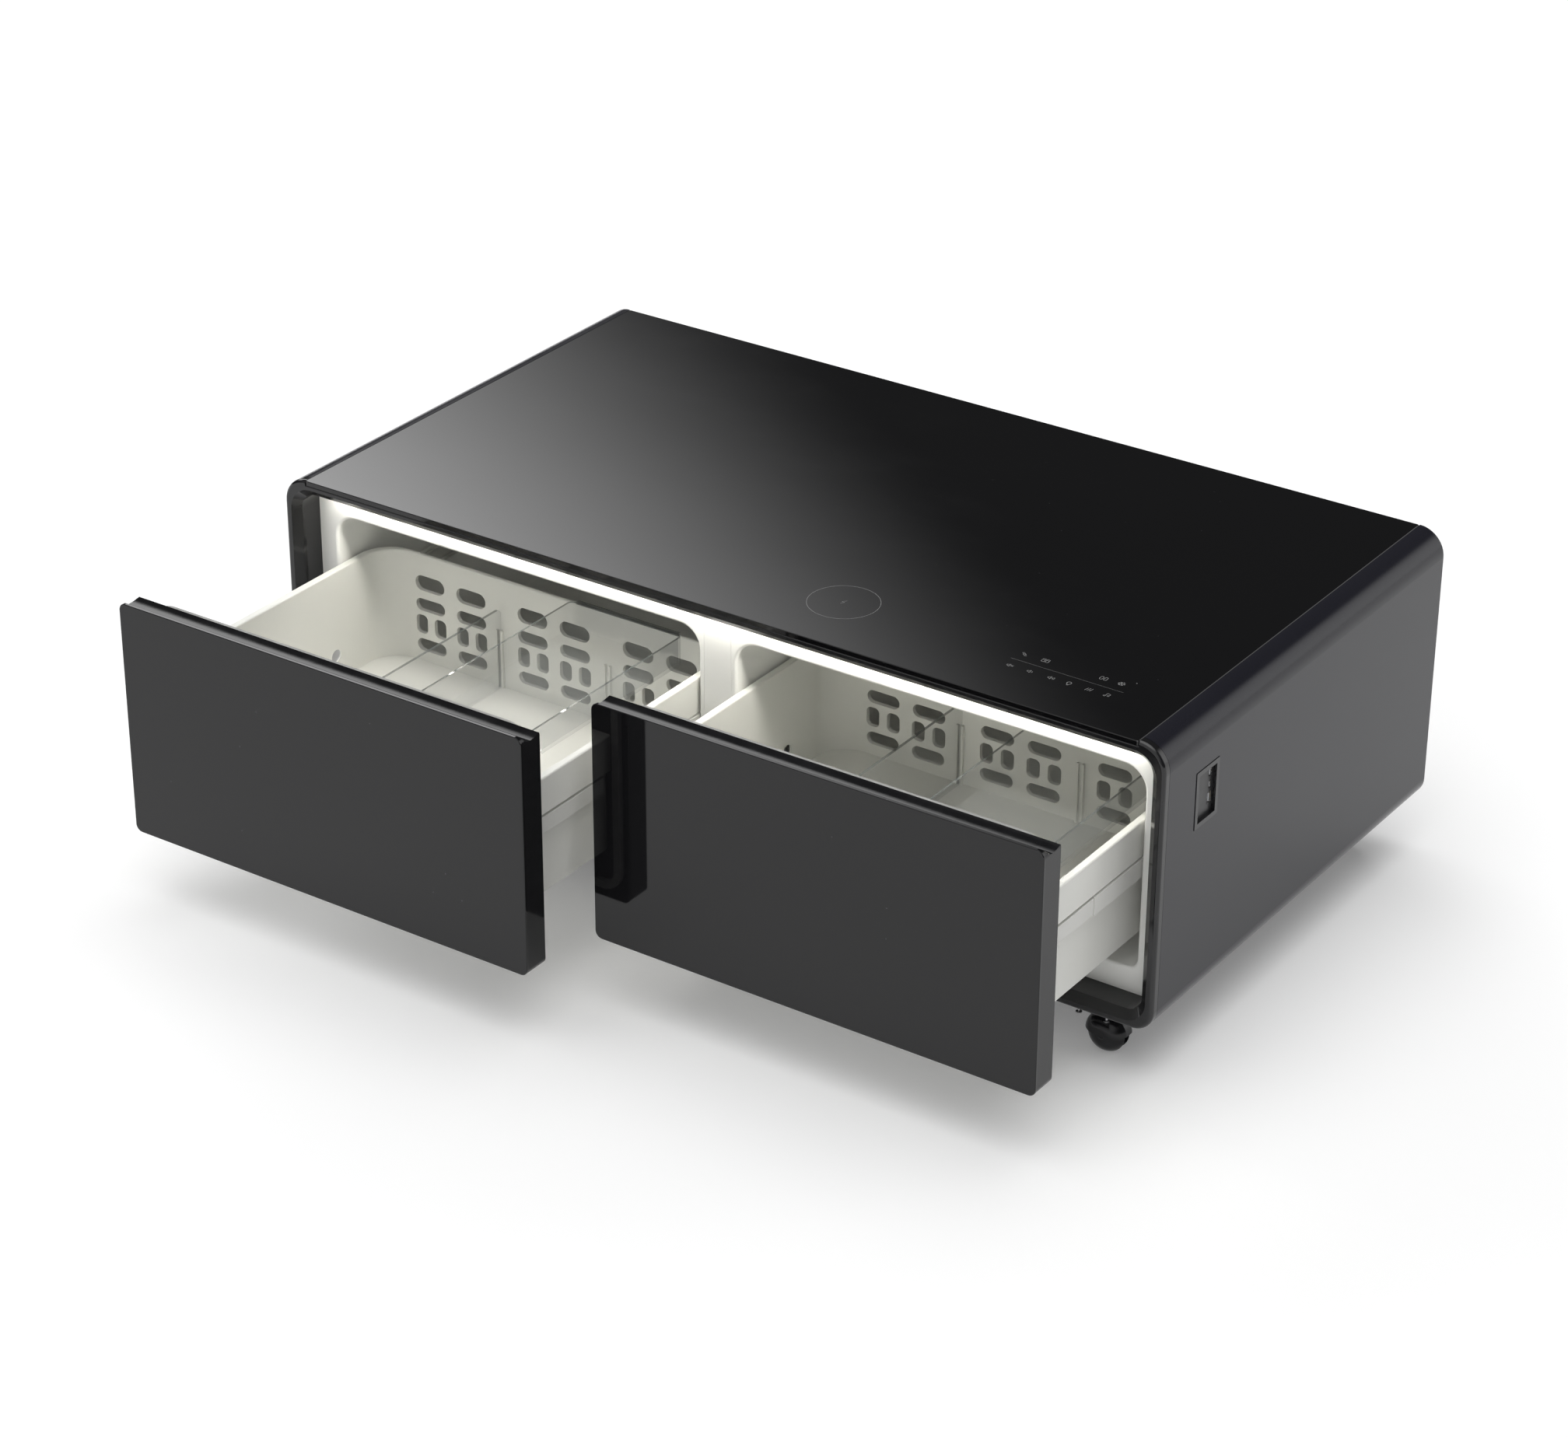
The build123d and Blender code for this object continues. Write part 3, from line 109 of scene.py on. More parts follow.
class TableColours(bpy.types.PropertyGroup):
    """The colours of the table's finishes."""

    trim: FloatVectorProperty(
        name="Trim", description="Front ring and door frames", subtype="COLOR", default=(0.010, 0.010, 0.011)
    )
    panel: FloatVectorProperty(
        name="Side panels", description="Lacquer of the side panels", subtype="COLOR", default=(0.013, 0.013, 0.018)
    )
    glass: FloatVectorProperty(
        name="Black glass", description="Back-painted glass of the top and the doors", subtype="COLOR",
        default=(0.0045, 0.0045, 0.005),
    )
    liner: FloatVectorProperty(
        name="Liner", description="White plastic of the cavities", subtype="COLOR", default=(0.90, 0.90, 0.87)
    )
    drawer: FloatVectorProperty(
        name="Drawer boxes", description="White plastic of the drawer boxes", subtype="COLOR",
        default=(0.78, 0.78, 0.74),
    )
    clear: FloatVectorProperty(
        name="Clear plastic", description="Tint of the trays and dividers", subtype="COLOR",
        default=(0.42, 0.44, 0.44),
    )
    light: FloatVectorProperty(
        name="Light strip", description="Colour of the light strip", subtype="COLOR", default=(1.0, 0.97, 0.90)
    )


class TableSizes(bpy.types.PropertyGroup):
    """Sizes of what the finishing adds to the table."""

    print_line: FloatProperty(
        name="Printed line", description="Width of the printed lines", subtype="DISTANCE", unit="LENGTH",
        default=0.0005,
    )
    print_proud: FloatProperty(
        name="Print height", description="How far the print stands on the glass", subtype="DISTANCE", unit="LENGTH",
        default=0.00004,
    )
    ring_radius: FloatProperty(
        name="Charging ring", description="Radius of the printed charging ring", subtype="DISTANCE", unit="LENGTH",
        default=0.045,
    )
    light_power: FloatProperty(name="Light strip power", description="Brightness of the light strip", default=42.0)


class TableStudio(bpy.types.PropertyGroup):
    """The floor and the light round the table."""

    floor: FloatVectorProperty(
        name="Floor", description="Colour of the pale floor", subtype="COLOR", default=(0.88, 0.88, 0.88)
    )
    floor_glow: FloatProperty(name="Floor glow", description="Light that the pale floor gives off", default=0.15)
    floor_size: FloatProperty(
        name="Floor size", description="Length of the floor's sides", subtype="DISTANCE", unit="LENGTH", default=60.0
    )
    ambient: FloatProperty(name="Ambient", description="Light from everywhere", default=0.045)
    overhead: FloatProperty(name="Overhead", description="Soft light from above", default=2.3)


class Value:
    """A socket that Python's arithmetic joins to others through Math nodes."""

    def __init__(self, finish, socket):
        self.finish = finish
        self.socket = socket

    def maths(self, operation, *others):
        return self.finish.node("ShaderNodeMath", {"operation": operation}, [self, *others])

    def __add__(self, other):
        return self.maths("ADD", other)

    def __sub__(self, other):
        return self.maths("SUBTRACT", other)

    def __mul__(self, other):
        return self.maths("MULTIPLY", other)

    def __pow__(self, other):
        return self.maths("POWER", other)

    def __gt__(self, other):
        return self.maths("GREATER_THAN", other)

    def __lt__(self, other):
        return self.maths("LESS_THAN", other)

    def __rsub__(self, other):
        return self.finish.node("ShaderNodeMath", {"operation": "SUBTRACT"}, [other, self])

    __radd__ = __add__
    __rmul__ = __mul__

    def clamped(self):
        return self.finish.node("ShaderNodeClamp", {}, {"Value": self})


class Finish:
    """A node tree with one way of adding a node."""

    def __init__(self, owner):
        owner.use_nodes = True
        self.owner = owner
        self.tree = owner.node_tree
        self.tree.nodes.clear()

    def node(self, kind, settings=None, inputs=None, out=0):
        """Add a node, set its settings, then its sockets from values or links, and give back one output."""
        made = self.tree.nodes.new(kind)
        for key, value in (settings or {}).items():
            if key == "stops":
                ramp = made.color_ramp
                while len(ramp.elements) > 1:
                    ramp.elements.remove(ramp.elements[-1])
                ramp.elements[0].position, ramp.elements[0].color = value[0]
                for place, colour in value[1:]:
                    ramp.elements.new(place).color = colour
            else:
                setattr(made, key, value)
        pairs = inputs.items() if isinstance(inputs, dict) else enumerate(inputs or ())
        for key, value in pairs:
            if isinstance(value, Value):
                self.tree.links.new(value.socket, made.inputs[key])
            else:
                made.inputs[key].default_value = value
        return Value(self, made.outputs[out])

    def place(self, scale=(1, 1, 1)):
        """The piece's own coordinates in metres, stretched where a pattern has a direction."""
        spot = self.node("ShaderNodeTexCoord", out="Object")
        return self.node("ShaderNodeMapping", {}, {"Vector": spot, "Scale": scale})

    def noise(self, scale, detail=2.0, rough=0.5, stretch=(1, 1, 1)):
        sockets = {"Vector": self.place(stretch), "Scale": scale, "Detail": detail, "Roughness": rough}
        return self.node("ShaderNodeTexNoise", {}, sockets)

    def between(self, value, low, high, to_low=0.0, to_high=1.0, smooth=False):
        """Map a value from one range to another, held at both ends."""
        settings = {"interpolation_type": "SMOOTHSTEP" if smooth else "LINEAR", "clamp": True}
        return self.node("ShaderNodeMapRange", settings, [value, low, high, to_low, to_high])

    def blend(self, factor, low, high):
        """Mix two colours."""
        mixed = self.tree.nodes.new("ShaderNodeMix")
        mixed.data_type = "RGBA"
        self.join(factor, mixed.inputs[0])
        self.join(low, mixed.inputs[6])
        self.join(high, mixed.inputs[7])
        return Value(self, mixed.outputs[2])

    def join(self, value, socket):
        """Link a value to a socket, or set the socket to a number or a colour."""
        if isinstance(value, Value):
            self.tree.links.new(value.socket, socket)
        else:
            socket.default_value = (*value, 1.0) if hasattr(value, "__len__") and len(value) == 3 else value

    def bump(self, height, distance, strength=1.0):
        return self.node("ShaderNodeBump", {}, {"Height": height, "Distance": distance, "Strength": strength})

    def surface(self, **sockets):
        """End the material in a Principled shader with these sockets."""
        shader = self.tree.nodes.new("ShaderNodeBsdfPrincipled")
        for key, value in sockets.items():
            self.join(value, shader.inputs[key.replace("_", " ")])
        output = self.tree.nodes.new("ShaderNodeOutputMaterial")
        self.tree.links.new(shader.outputs[0], output.inputs[0])


def new_finish(name):
    return Finish(bpy.data.materials.new(name))


def shades(colour, *factors):
    """The same colour at several brightnesses."""
    return [tuple(channel * factor for channel in colour) for factor in factors]


def black_glass(name, colour, specks, index=1.5):
    """Back-painted glass with faint smudges and a scatter of dust."""
    finish = new_finish(name)
    smudge = finish.between(finish.noise(7.0, 4.0, 0.6, (1, 1.6, 1)), 0.42, 0.72)
    cells = finish.node("ShaderNodeTexVoronoi", {}, {"Vector": finish.place(), "Scale": specks}, out="Distance")
    patch = finish.noise(specks * 0.31, 0.0)
    speck = (cells < 0.035) * (patch > 0.56)
    plain, dusty = shades(colour, 1.0, 9.0)
    finish.surface(
        Base_Color=finish.blend(speck, plain, dusty),
        Roughness=0.035 + smudge * 0.03,
        IOR=index,
        Normal=finish.bump(finish.noise(3.0, 1.0), 0.00012),
    )
    return finish.owner


def gloss_plastic(name, colour, roughness=0.12, index=1.5):
    """Polished black moulding: a soft ripple and faint wipe marks."""
    finish = new_finish(name)
    wipes = finish.between(finish.noise(22.0, 5.0, 0.65, (1, 1, 4)), 0.45, 0.8)
    low, high = shades(colour, 1.0, 1.7)
    finish.surface(
        Base_Color=finish.blend(wipes, low, high),
        Roughness=roughness + wipes * 0.06,
        IOR=index,
        Normal=finish.bump(finish.noise(60.0, 2.0), 0.00005),
    )
    return finish.owner


def satin_lacquer(name, colour, roughness):
    """Sprayed lacquer with the slight peel of a real coat."""
    finish = new_finish(name)
    peel = finish.noise(520.0, 1.0)
    cloud = finish.noise(5.0, 3.0)
    low, high = shades(colour, 0.85, 1.2)
    finish.surface(
        Base_Color=finish.blend(cloud, low, high),
        Roughness=finish.between(cloud, 0.3, 0.7, roughness - 0.02, roughness + 0.03),
        IOR=1.37,
        Normal=finish.bump(peel, 0.00002, 0.6),
    )
    return finish.owner


def moulded_white(name, colour, roughness):
    """White plastic with a fine moulded texture and the odd scuff."""
    finish = new_finish(name)
    cloud = finish.noise(9.0, 3.0)
    scuff = finish.between(finish.noise(34.0, 6.0, 0.7, (1, 0.35, 1)), 0.62, 0.74)
    low, high = shades(colour, 0.975, 1.02)
    grimy = tuple(channel * tone for channel, tone in zip(colour, (0.90, 0.89, 0.86)))
    finish.surface(
        Base_Color=finish.blend(scuff * 0.35, finish.blend(cloud, low, high), grimy),
        Roughness=finish.between(cloud, 0.3, 0.7, roughness - 0.03, roughness + 0.05),
        IOR=1.49,
        Normal=finish.bump(finish.noise(900.0, 2.0), 0.00003, 0.5),
    )
    return finish.owner


def clear_plastic(name, colour, top):
    """Clear moulded plastic: see-through from the front, more opaque at a slant and along its top edge, and painted
    dark there as a painted shade for the dark edges that refraction gives.
    """
    finish = new_finish(name)
    facing = finish.node("ShaderNodeLayerWeight", {}, {"Blend": 0.35}, out="Facing")
    normal = finish.node("ShaderNodeNewGeometry", out="Normal")
    up = finish.node("ShaderNodeSeparateXYZ", {}, [normal], out="Z")
    height = finish.node("ShaderNodeSeparateXYZ", {}, [finish.place()], out="Z")
    # Painted shade: upward faces near the top edge and faces seen at a slant are blended towards dark grey and made
    # more opaque, standing in for refraction's dark rim lines.
    painted_dark_rim = (up > 0.5) * (height > top - 0.006)
    finish.surface(
        Base_Color=finish.blend((facing + painted_dark_rim * 0.8).clamped(), tuple(colour), (0.10, 0.11, 0.11)),
        Roughness=0.04 + finish.between(finish.noise(40.0, 4.0), 0.5, 0.8) * 0.05,
        IOR=1.49,
        Alpha=(0.08 + (facing ** 3.0) * 0.60 + painted_dark_rim * 0.55).clamped(),
    )
    return finish.owner


def soft_rubber(name, colour):
    """Matt rubber with a fine grain."""
    finish = new_finish(name)
    grain = finish.noise(1400.0, 2.0)
    dust = finish.between(finish.noise(30.0, 4.0), 0.5, 0.75)
    low, high = shades(colour, 1.0, 1.35)
    finish.surface(
        Base_Color=finish.blend(dust, low, high),
        Roughness=0.62 + dust * 0.15,
        Normal=finish.bump(grain, 0.00004, 0.6),
    )
    return finish.owner


def plain_metal(name, colour, roughness, brushed=(1, 1, 1), worn=0.1):
    """Bare or plated metal with fine brushing."""
    finish = new_finish(name)
    lines = finish.noise(300.0, 3.0, 0.6, brushed)
    stain = finish.between(finish.noise(14.0, 4.0), 0.4, 0.8)
    low, high = shades(colour, 0.8, 1.08)
    finish.surface(
        Base_Color=finish.blend(lines, low, high),
        Roughness=roughness + stain * worn,
        Metallic=1.0,
        Normal=finish.bump(lines, 0.00002, 0.5),
    )
    return finish.owner


def powder_coat(name, colour, roughness=0.45):
    """Powder-coated steel with its fine pebbled texture."""
    finish = new_finish(name)
    pebble = finish.noise(750.0, 2.0)
    cloud = finish.noise(6.0, 3.0)
    low, high = shades(colour, 0.85, 1.3)
    finish.surface(
        Base_Color=finish.blend(cloud, low, high),
        Roughness=finish.between(cloud, 0.3, 0.7, roughness - 0.04, roughness + 0.06),
        Normal=finish.bump(pebble, 0.00008, 0.8),
    )
    return finish.owner


def foam(name, colour):
    """Poured foam with open cells."""
    finish = new_finish(name)
    cells = finish.node("ShaderNodeTexVoronoi", {}, {"Vector": finish.place(), "Scale": 420.0}, out="Distance")
    # Painted shade: the cell hollows, low in the bump, are painted darker than the cell walls.
    low, high = shades(colour, 0.7, 1.05)
    finish.surface(
        Base_Color=finish.blend(cells, low, high), Roughness=0.9, Normal=finish.bump(cells, 0.0005, 0.8)
    )
    return finish.owner


def board_laminate(name, colour):
    """Painted particle board, seen only from inside."""
    finish = new_finish(name)
    chips = finish.noise(160.0, 5.0, 0.7, (1, 0.4, 1))
    low, high = shades(colour, 0.7, 1.4)
    finish.surface(Base_Color=finish.blend(chips, low, high), Roughness=0.7, Normal=finish.bump(chips, 0.0002, 0.5))
    return finish.owner


def circuit_board(name, colour):
    """Green solder mask with copper tracks."""
    finish = new_finish(name)
    tracks = finish.node("ShaderNodeTexBrick", {}, {"Vector": finish.place(), "Scale": 60.0}, out="Fac")
    low, high = shades(colour, 1.0, 2.4)
    finish.surface(
        Base_Color=finish.blend(tracks, high, low), Roughness=0.32, Normal=finish.bump(tracks, 0.0001, 0.4)
    )
    return finish.owner


def glowing(name, colour, power):
    """The frosted cover of the light strip."""
    finish = new_finish(name)
    diodes = finish.node("ShaderNodeTexWave", {"bands_direction": "X"}, {"Vector": finish.place(), "Scale": 19.0})
    finish.surface(
        Base_Color=(0.9, 0.9, 0.88),
        Roughness=0.5,
        Emission_Color=finish.blend(diodes, shades(colour, 0.85)[0], tuple(colour)),
        Emission_Strength=power,
    )
    return finish.owner


def print_white(name, tone):
    """Screen print on the glass, thin enough to show a little mottling."""
    finish = new_finish(name)
    mottle = finish.noise(2600.0, 1.0)
    finish.surface(
        Base_Color=finish.blend(mottle, (tone * 0.85,) * 3, (tone * 1.1,) * 3), Roughness=0.35
    )
    return finish.owner


class TABLE_OT_stage(bpy.types.Operator):
    """Add the camera, the pale floor and the soft studio light"""

    bl_idname = "coffee_table.stage"
    bl_label = "Studio"

    def execute(self, context):
        studio = context.scene.table_studio
        self.camera(context)
        self.floor(studio)
        self.light(context, studio)
        context.scene.view_settings.view_transform = "Standard"
        return {"FINISHED"}

    def camera(self, context):
        """Stand the camera where the photograph was taken."""
        look = Vector(
            (-sin(CAMERA_YAW) * cos(CAMERA_PITCH), cos(CAMERA_YAW) * cos(CAMERA_PITCH), -sin(CAMERA_PITCH))
        )
        right = Vector((cos(CAMERA_YAW), sin(CAMERA_YAW), 0))
        up = right.cross(look)
        right, up = (
            cos(CAMERA_ROLL) * right + sin(CAMERA_ROLL) * up,
            -sin(CAMERA_ROLL) * right + cos(CAMERA_ROLL) * up,
        )
        data = bpy.data.cameras.new("camera")
        data.sensor_width = SENSOR_WIDTH
        data.sensor_fit = "HORIZONTAL"
        data.lens = FOCAL_PIXELS / PICTURE_WIDTH * SENSOR_WIDTH
        data.clip_end = 200.0
        camera = bpy.data.objects.new("camera", data)
        axes = Matrix((right, up, -look)).transposed()
        camera.matrix_world = Matrix.Translation(CAMERA_PLACE) @ axes.to_4x4()
        context.scene.collection.objects.link(camera)
        context.scene.camera = camera

    def floor(self, studio):
        """Lay a plain pale floor under the castors."""
        bm = bmesh.new()
        bmesh.ops.create_grid(bm, x_segments=1, y_segments=1, size=studio.floor_size / 2)
        mesh = bpy.data.meshes.new("studio_floor")
        bm.to_mesh(mesh)
        bm.free()
        floor = bpy.data.objects.new("studio_floor", mesh)
        bpy.context.scene.collection.objects.link(floor)
        finish = new_finish("floor_paint")
        shade = finish.noise(0.7, 1.0)
        low, high = shades(studio.floor, 0.99, 1.0)
        finish.surface(
            Base_Color=finish.blend(shade, low, high), Roughness=0.9,
            Emission_Color=(1.0, 1.0, 1.0), Emission_Strength=studio.floor_glow,
        )
        mesh.materials.append(finish.owner)

    def light(self, context, studio):
        """Surround the table with a dim room, an overhead softbox and three soft glows."""
        world = bpy.data.worlds.new("studio_light")
        context.scene.world = world
        finish = Finish(world)
        towards = finish.node("ShaderNodeTexCoord", out="Generated")
        total = None
        height = finish.node("ShaderNodeSeparateXYZ", {}, [towards], out="Z")
        # Azimuth from +Y towards +X, elevation, outer and inner angle in degrees, strength, cap and upper edge
        glows = (
            (0.0, 90.0, 42.0, 18.0, studio.overhead, studio.overhead, 0.0),
            (-62.1, 42.3, 30.5, 0.0, 9.9, 3.0, 35.0),
            (38.0, 14.0, 26.0, 4.0, 1.5, 1.5, 0.0),
            (180.0, 35.0, 60.0, 20.0, 0.8, 0.8, 0.0),
        )
        for azimuth, elevation, outer, inner, strength, cap, edge in glows:
            centre = (
                sin(radians(azimuth)) * cos(radians(elevation)),
                cos(radians(azimuth)) * cos(radians(elevation)),
                sin(radians(elevation)),
            )
            near = finish.node("ShaderNodeVectorMath", {"operation": "DOT_PRODUCT"}, [towards, centre], out="Value")
            glow = finish.between(near, cos(radians(outer)), cos(radians(inner)), smooth=True) * strength
            glow = glow.maths("MINIMUM", cap)
            if edge:
                above, below = sin(radians(edge + 4)), sin(radians(edge - 3))
                glow = glow * finish.between(height, above, below, smooth=True)
            total = glow if total is None else total + glow
        total = total + studio.ambient
        background = finish.tree.nodes.new("ShaderNodeBackground")
        background.inputs["Color"].default_value = (1.0, 1.0, 1.0, 1.0)
        finish.tree.links.new(total.socket, background.inputs["Strength"])
        output = finish.tree.nodes.new("ShaderNodeOutputWorld")
        finish.tree.links.new(background.outputs[0], output.inputs[0])


class TABLE_OT_finishes(bpy.types.Operator):
    """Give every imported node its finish"""

    bl_idname = "coffee_table.finishes"
    bl_label = "Finishes"

    def execute(self, context):
        colours = context.scene.table_colours
        trim = gloss_plastic("trim_black", colours.trim, 0.10)
        door = gloss_plastic("door_frame_black", shades(colours.trim, 0.8)[0], 0.08, 1.38)
        panel = satin_lacquer("panel_lacquer", colours.panel, 0.20)
        top = black_glass("top_black_glass", colours.glass, 55.0)
        face = black_glass("door_black_glass", shades(colours.glass, 1.4)[0], 40.0, 1.43)
        liner = moulded_white("liner_white", colours.liner, 0.33)
        drawer = moulded_white("drawer_white", colours.drawer, 0.36)
        tray, divider = (
            clear_plastic(f"clear_{kind}", colours.clear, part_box(f"left_drawer_{kind}")[1][2])
            for kind in ("tray", "divider")
        )
        gasket = soft_rubber("gasket_grey", (0.32, 0.32, 0.31))
        slide = satin_lacquer("slide_white", (0.70, 0.70, 0.67), 0.35)
        sheet = powder_coat("steel_black", (0.018, 0.018, 0.019))
        works = powder_coat("works_black", (0.013, 0.013, 0.013), 0.38)
        mount = soft_rubber("mount_black", (0.02, 0.02, 0.02))
        moulded = gloss_plastic("moulded_black", (0.014, 0.014, 0.015), 0.34)
        castor = gloss_plastic("castor_black", (0.007, 0.007, 0.008), 0.16, 1.4)
        copper = plain_metal("copper", (0.72, 0.36, 0.22), 0.28)
        aluminium = plain_metal("aluminium", (0.66, 0.67, 0.68), 0.35, (1, 1, 0.1))
        steel = plain_metal("screw_steel", (0.42, 0.42, 0.43), 0.30)
        filling = foam("insulation", (0.66, 0.60, 0.42))
        laminate = board_laminate("deck_board", (0.035, 0.032, 0.03))
        green = circuit_board("circuit_green", (0.012, 0.075, 0.035))
        strip = glowing("light_strip", colours.light, context.scene.table_sizes.light_power)
        finishes = {
            "front_trim_frame": trim, "glass_top": top, "top_deck": laminate, "base_pan": sheet, "back_panel": sheet,
            "led_strip": strip, "touch_board": green, "charging_coil": copper, "mullion_cover": liner,
            "evaporator_plates": aluminium, "insulation_foam": filling, "socket_bezel": trim, "port_block": moulded,
            "compressor": works, "compressor_mounts": mount, "fan_frame": moulded, "fan_impeller": moulded,
            "condenser": aluminium, "refrigerant_pipes": copper, "control_board": green, "speakers": moulded,
            "power_inlet": moulded, "screws": steel,
        }
        for side in SIDES:
            finishes.update({
                f"{side}_side_panel": panel, f"{side}_liner": liner, f"{side}_fixed_slides": slide,
                f"{side}_middle_slides": slide, f"{side}_inner_slides": slide, f"{side}_door_glass": face,
                f"{side}_door_frame": door, f"{side}_door_core": filling, f"{side}_door_gasket": gasket,
                f"{side}_drawer_box": drawer, f"{side}_drawer_divider": divider, f"{side}_drawer_tray": tray,
            })
        for name in CASTORS:
            finishes.update({
                f"{name}_castor_plate": works, f"{name}_castor_hood": castor, f"{name}_castor_wheels": castor,
            })
        missing = sorted(set(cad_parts) ^ set(finishes))
        if missing:
            raise RuntimeError(f"these nodes and finishes don't match: {missing}")
        for name, finish in finishes.items():
            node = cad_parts[name]
            for index in range(len(node.material_slots)):
                node.material_slots[index].material = finish
        return {"FINISHED"}


class Form:
    """One mesh drawn in millimetres, shape by shape, each set in place by its own matrix."""

    def __init__(self):
        self.bm = bmesh.new()
        self.known = set()

    def fresh(self):
        """The vertices of the shape that isn't settled yet."""
        return [vert for vert in self.bm.verts if vert not in self.known]

    def settle(self, place):
        """Clean the shape just drawn and move it to its place."""
        bmesh.ops.remove_doubles(self.bm, verts=self.fresh(), dist=0.0005)
        bmesh.ops.transform(self.bm, matrix=place, verts=self.fresh())
        self.known = set(self.bm.verts)

    def lathe(self, profile, steps, place):
        """Spin a profile of (radius, height) round Z."""
        verts = [self.bm.verts.new((radius, 0, height)) for radius, height in profile]
        edges = [self.bm.edges.new(pair) for pair in zip(verts, verts[1:])]
        bmesh.ops.spin(
            self.bm, geom=verts + edges, cent=(0, 0, 0), axis=(0, 0, 1), angle=2 * pi, steps=steps, use_merge=True
        )
        self.settle(place)

    def block(self, size, place, bevel=0.0, segments=3):
        """A block with rounded edges, centred on its place."""
        made = bmesh.ops.create_cube(self.bm, size=1.0)
        bmesh.ops.scale(self.bm, vec=size, verts=made["verts"])
        if bevel:
            edges = {edge for vert in made["verts"] for edge in vert.link_edges}
            bmesh.ops.bevel(
                self.bm, geom=list(edges), offset=bevel, offset_type="OFFSET", segments=segments, profile=0.5,
                affect="EDGES", clamp_overlap=True, material=-1,
            )
        self.settle(place)

    def stroke(self, start, end, width, place):
        """A flat printed stroke with round ends."""
        start, end = Vector((*start, 0)), Vector((*end, 0))
        length = (end - start).length
        bmesh.ops.create_circle(self.bm, cap_ends=True, segments=12, radius=width / 2)
        for vert in self.fresh():
            if vert.co.x > 0.0001:
                vert.co.x += length
        turn = (end - start).to_2d().angle_signed(Vector((1, 0)), 0.0) if length else 0.0
        self.settle(place @ Matrix.Translation(start) @ Matrix.Rotation(turn, 4, "Z"))

    def arc(self, centre, radius, start, sweep, width, place, steps=24):
        """A flat printed arc, its angles in degrees from X towards Y."""
        inner, outer = radius - width / 2, radius + width / 2
        verts = [self.bm.verts.new((distance, 0, 0)) for distance in (inner, outer)]
        edge = self.bm.edges.new(verts)
        bmesh.ops.spin(
            self.bm, geom=[*verts, edge], cent=(0, 0, 0), axis=(0, 0, 1), angle=radians(sweep), steps=steps,
            use_merge=abs(sweep) == 360,
        )
        self.settle(place @ Matrix.Translation((*centre, 0)) @ Matrix.Rotation(radians(start), 4, "Z"))

    def path(self, points, width, place, closed=False):
        """Printed strokes from point to point."""
        pairs = list(zip(points, points[1:] + points[:1])) if closed else list(zip(points, points[1:]))
        for start, end in pairs:
            self.stroke(start, end, width, place)

    def rod(self, start, end, radius, steps=10):
        """A straight round bar."""
        start, end = Vector(start), Vector(end)
        run = end - start
        bmesh.ops.create_cone(
            self.bm, cap_ends=True, segments=steps, radius1=radius, radius2=radius, depth=run.length
        )
        turn = run.to_track_quat("Z", "Y").to_matrix().to_4x4()
        self.settle(Matrix.Translation((start + end) / 2) @ turn)

    def finished(self, name, finish, body, replaced=(), flat=False):
        """Turn the faces outwards, scale to metres, and hand the piece to its body."""
        bm = self.bm
        if flat:
            for face in bm.faces:
                face.normal_update()
                if face.normal.z < 0:
                    face.normal_flip()
        else:
            bmesh.ops.recalc_face_normals(bm, faces=bm.faces)
        bmesh.ops.scale(bm, vec=(MM, MM, MM), verts=bm.verts)
        for face in bm.faces:
            face.smooth = not flat
        for edge in bm.edges:
            edge.smooth = edge.is_manifold and edge.calc_face_angle(0.0) < radians(SHARP_ANGLE)
        mesh = bpy.data.meshes.new(name)
        bm.to_mesh(mesh)
        bm.free()
        mesh.materials.append(finish)
        made = bpy.data.objects.new(name, mesh)
        bpy.context.scene.collection.objects.link(made)
        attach(made, body)
        if replaced:
            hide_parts(*replaced)


def at(x, y, z, face="up"):
    """A place in millimetres whose own Z points up, down, to the front or to the back."""
    turn = {"up": 0.0, "down": pi, "front": pi / 2, "back": -pi / 2}[face]
    return Matrix.Translation((x, y, z)) @ Matrix.Rotation(turn, 4, "X")


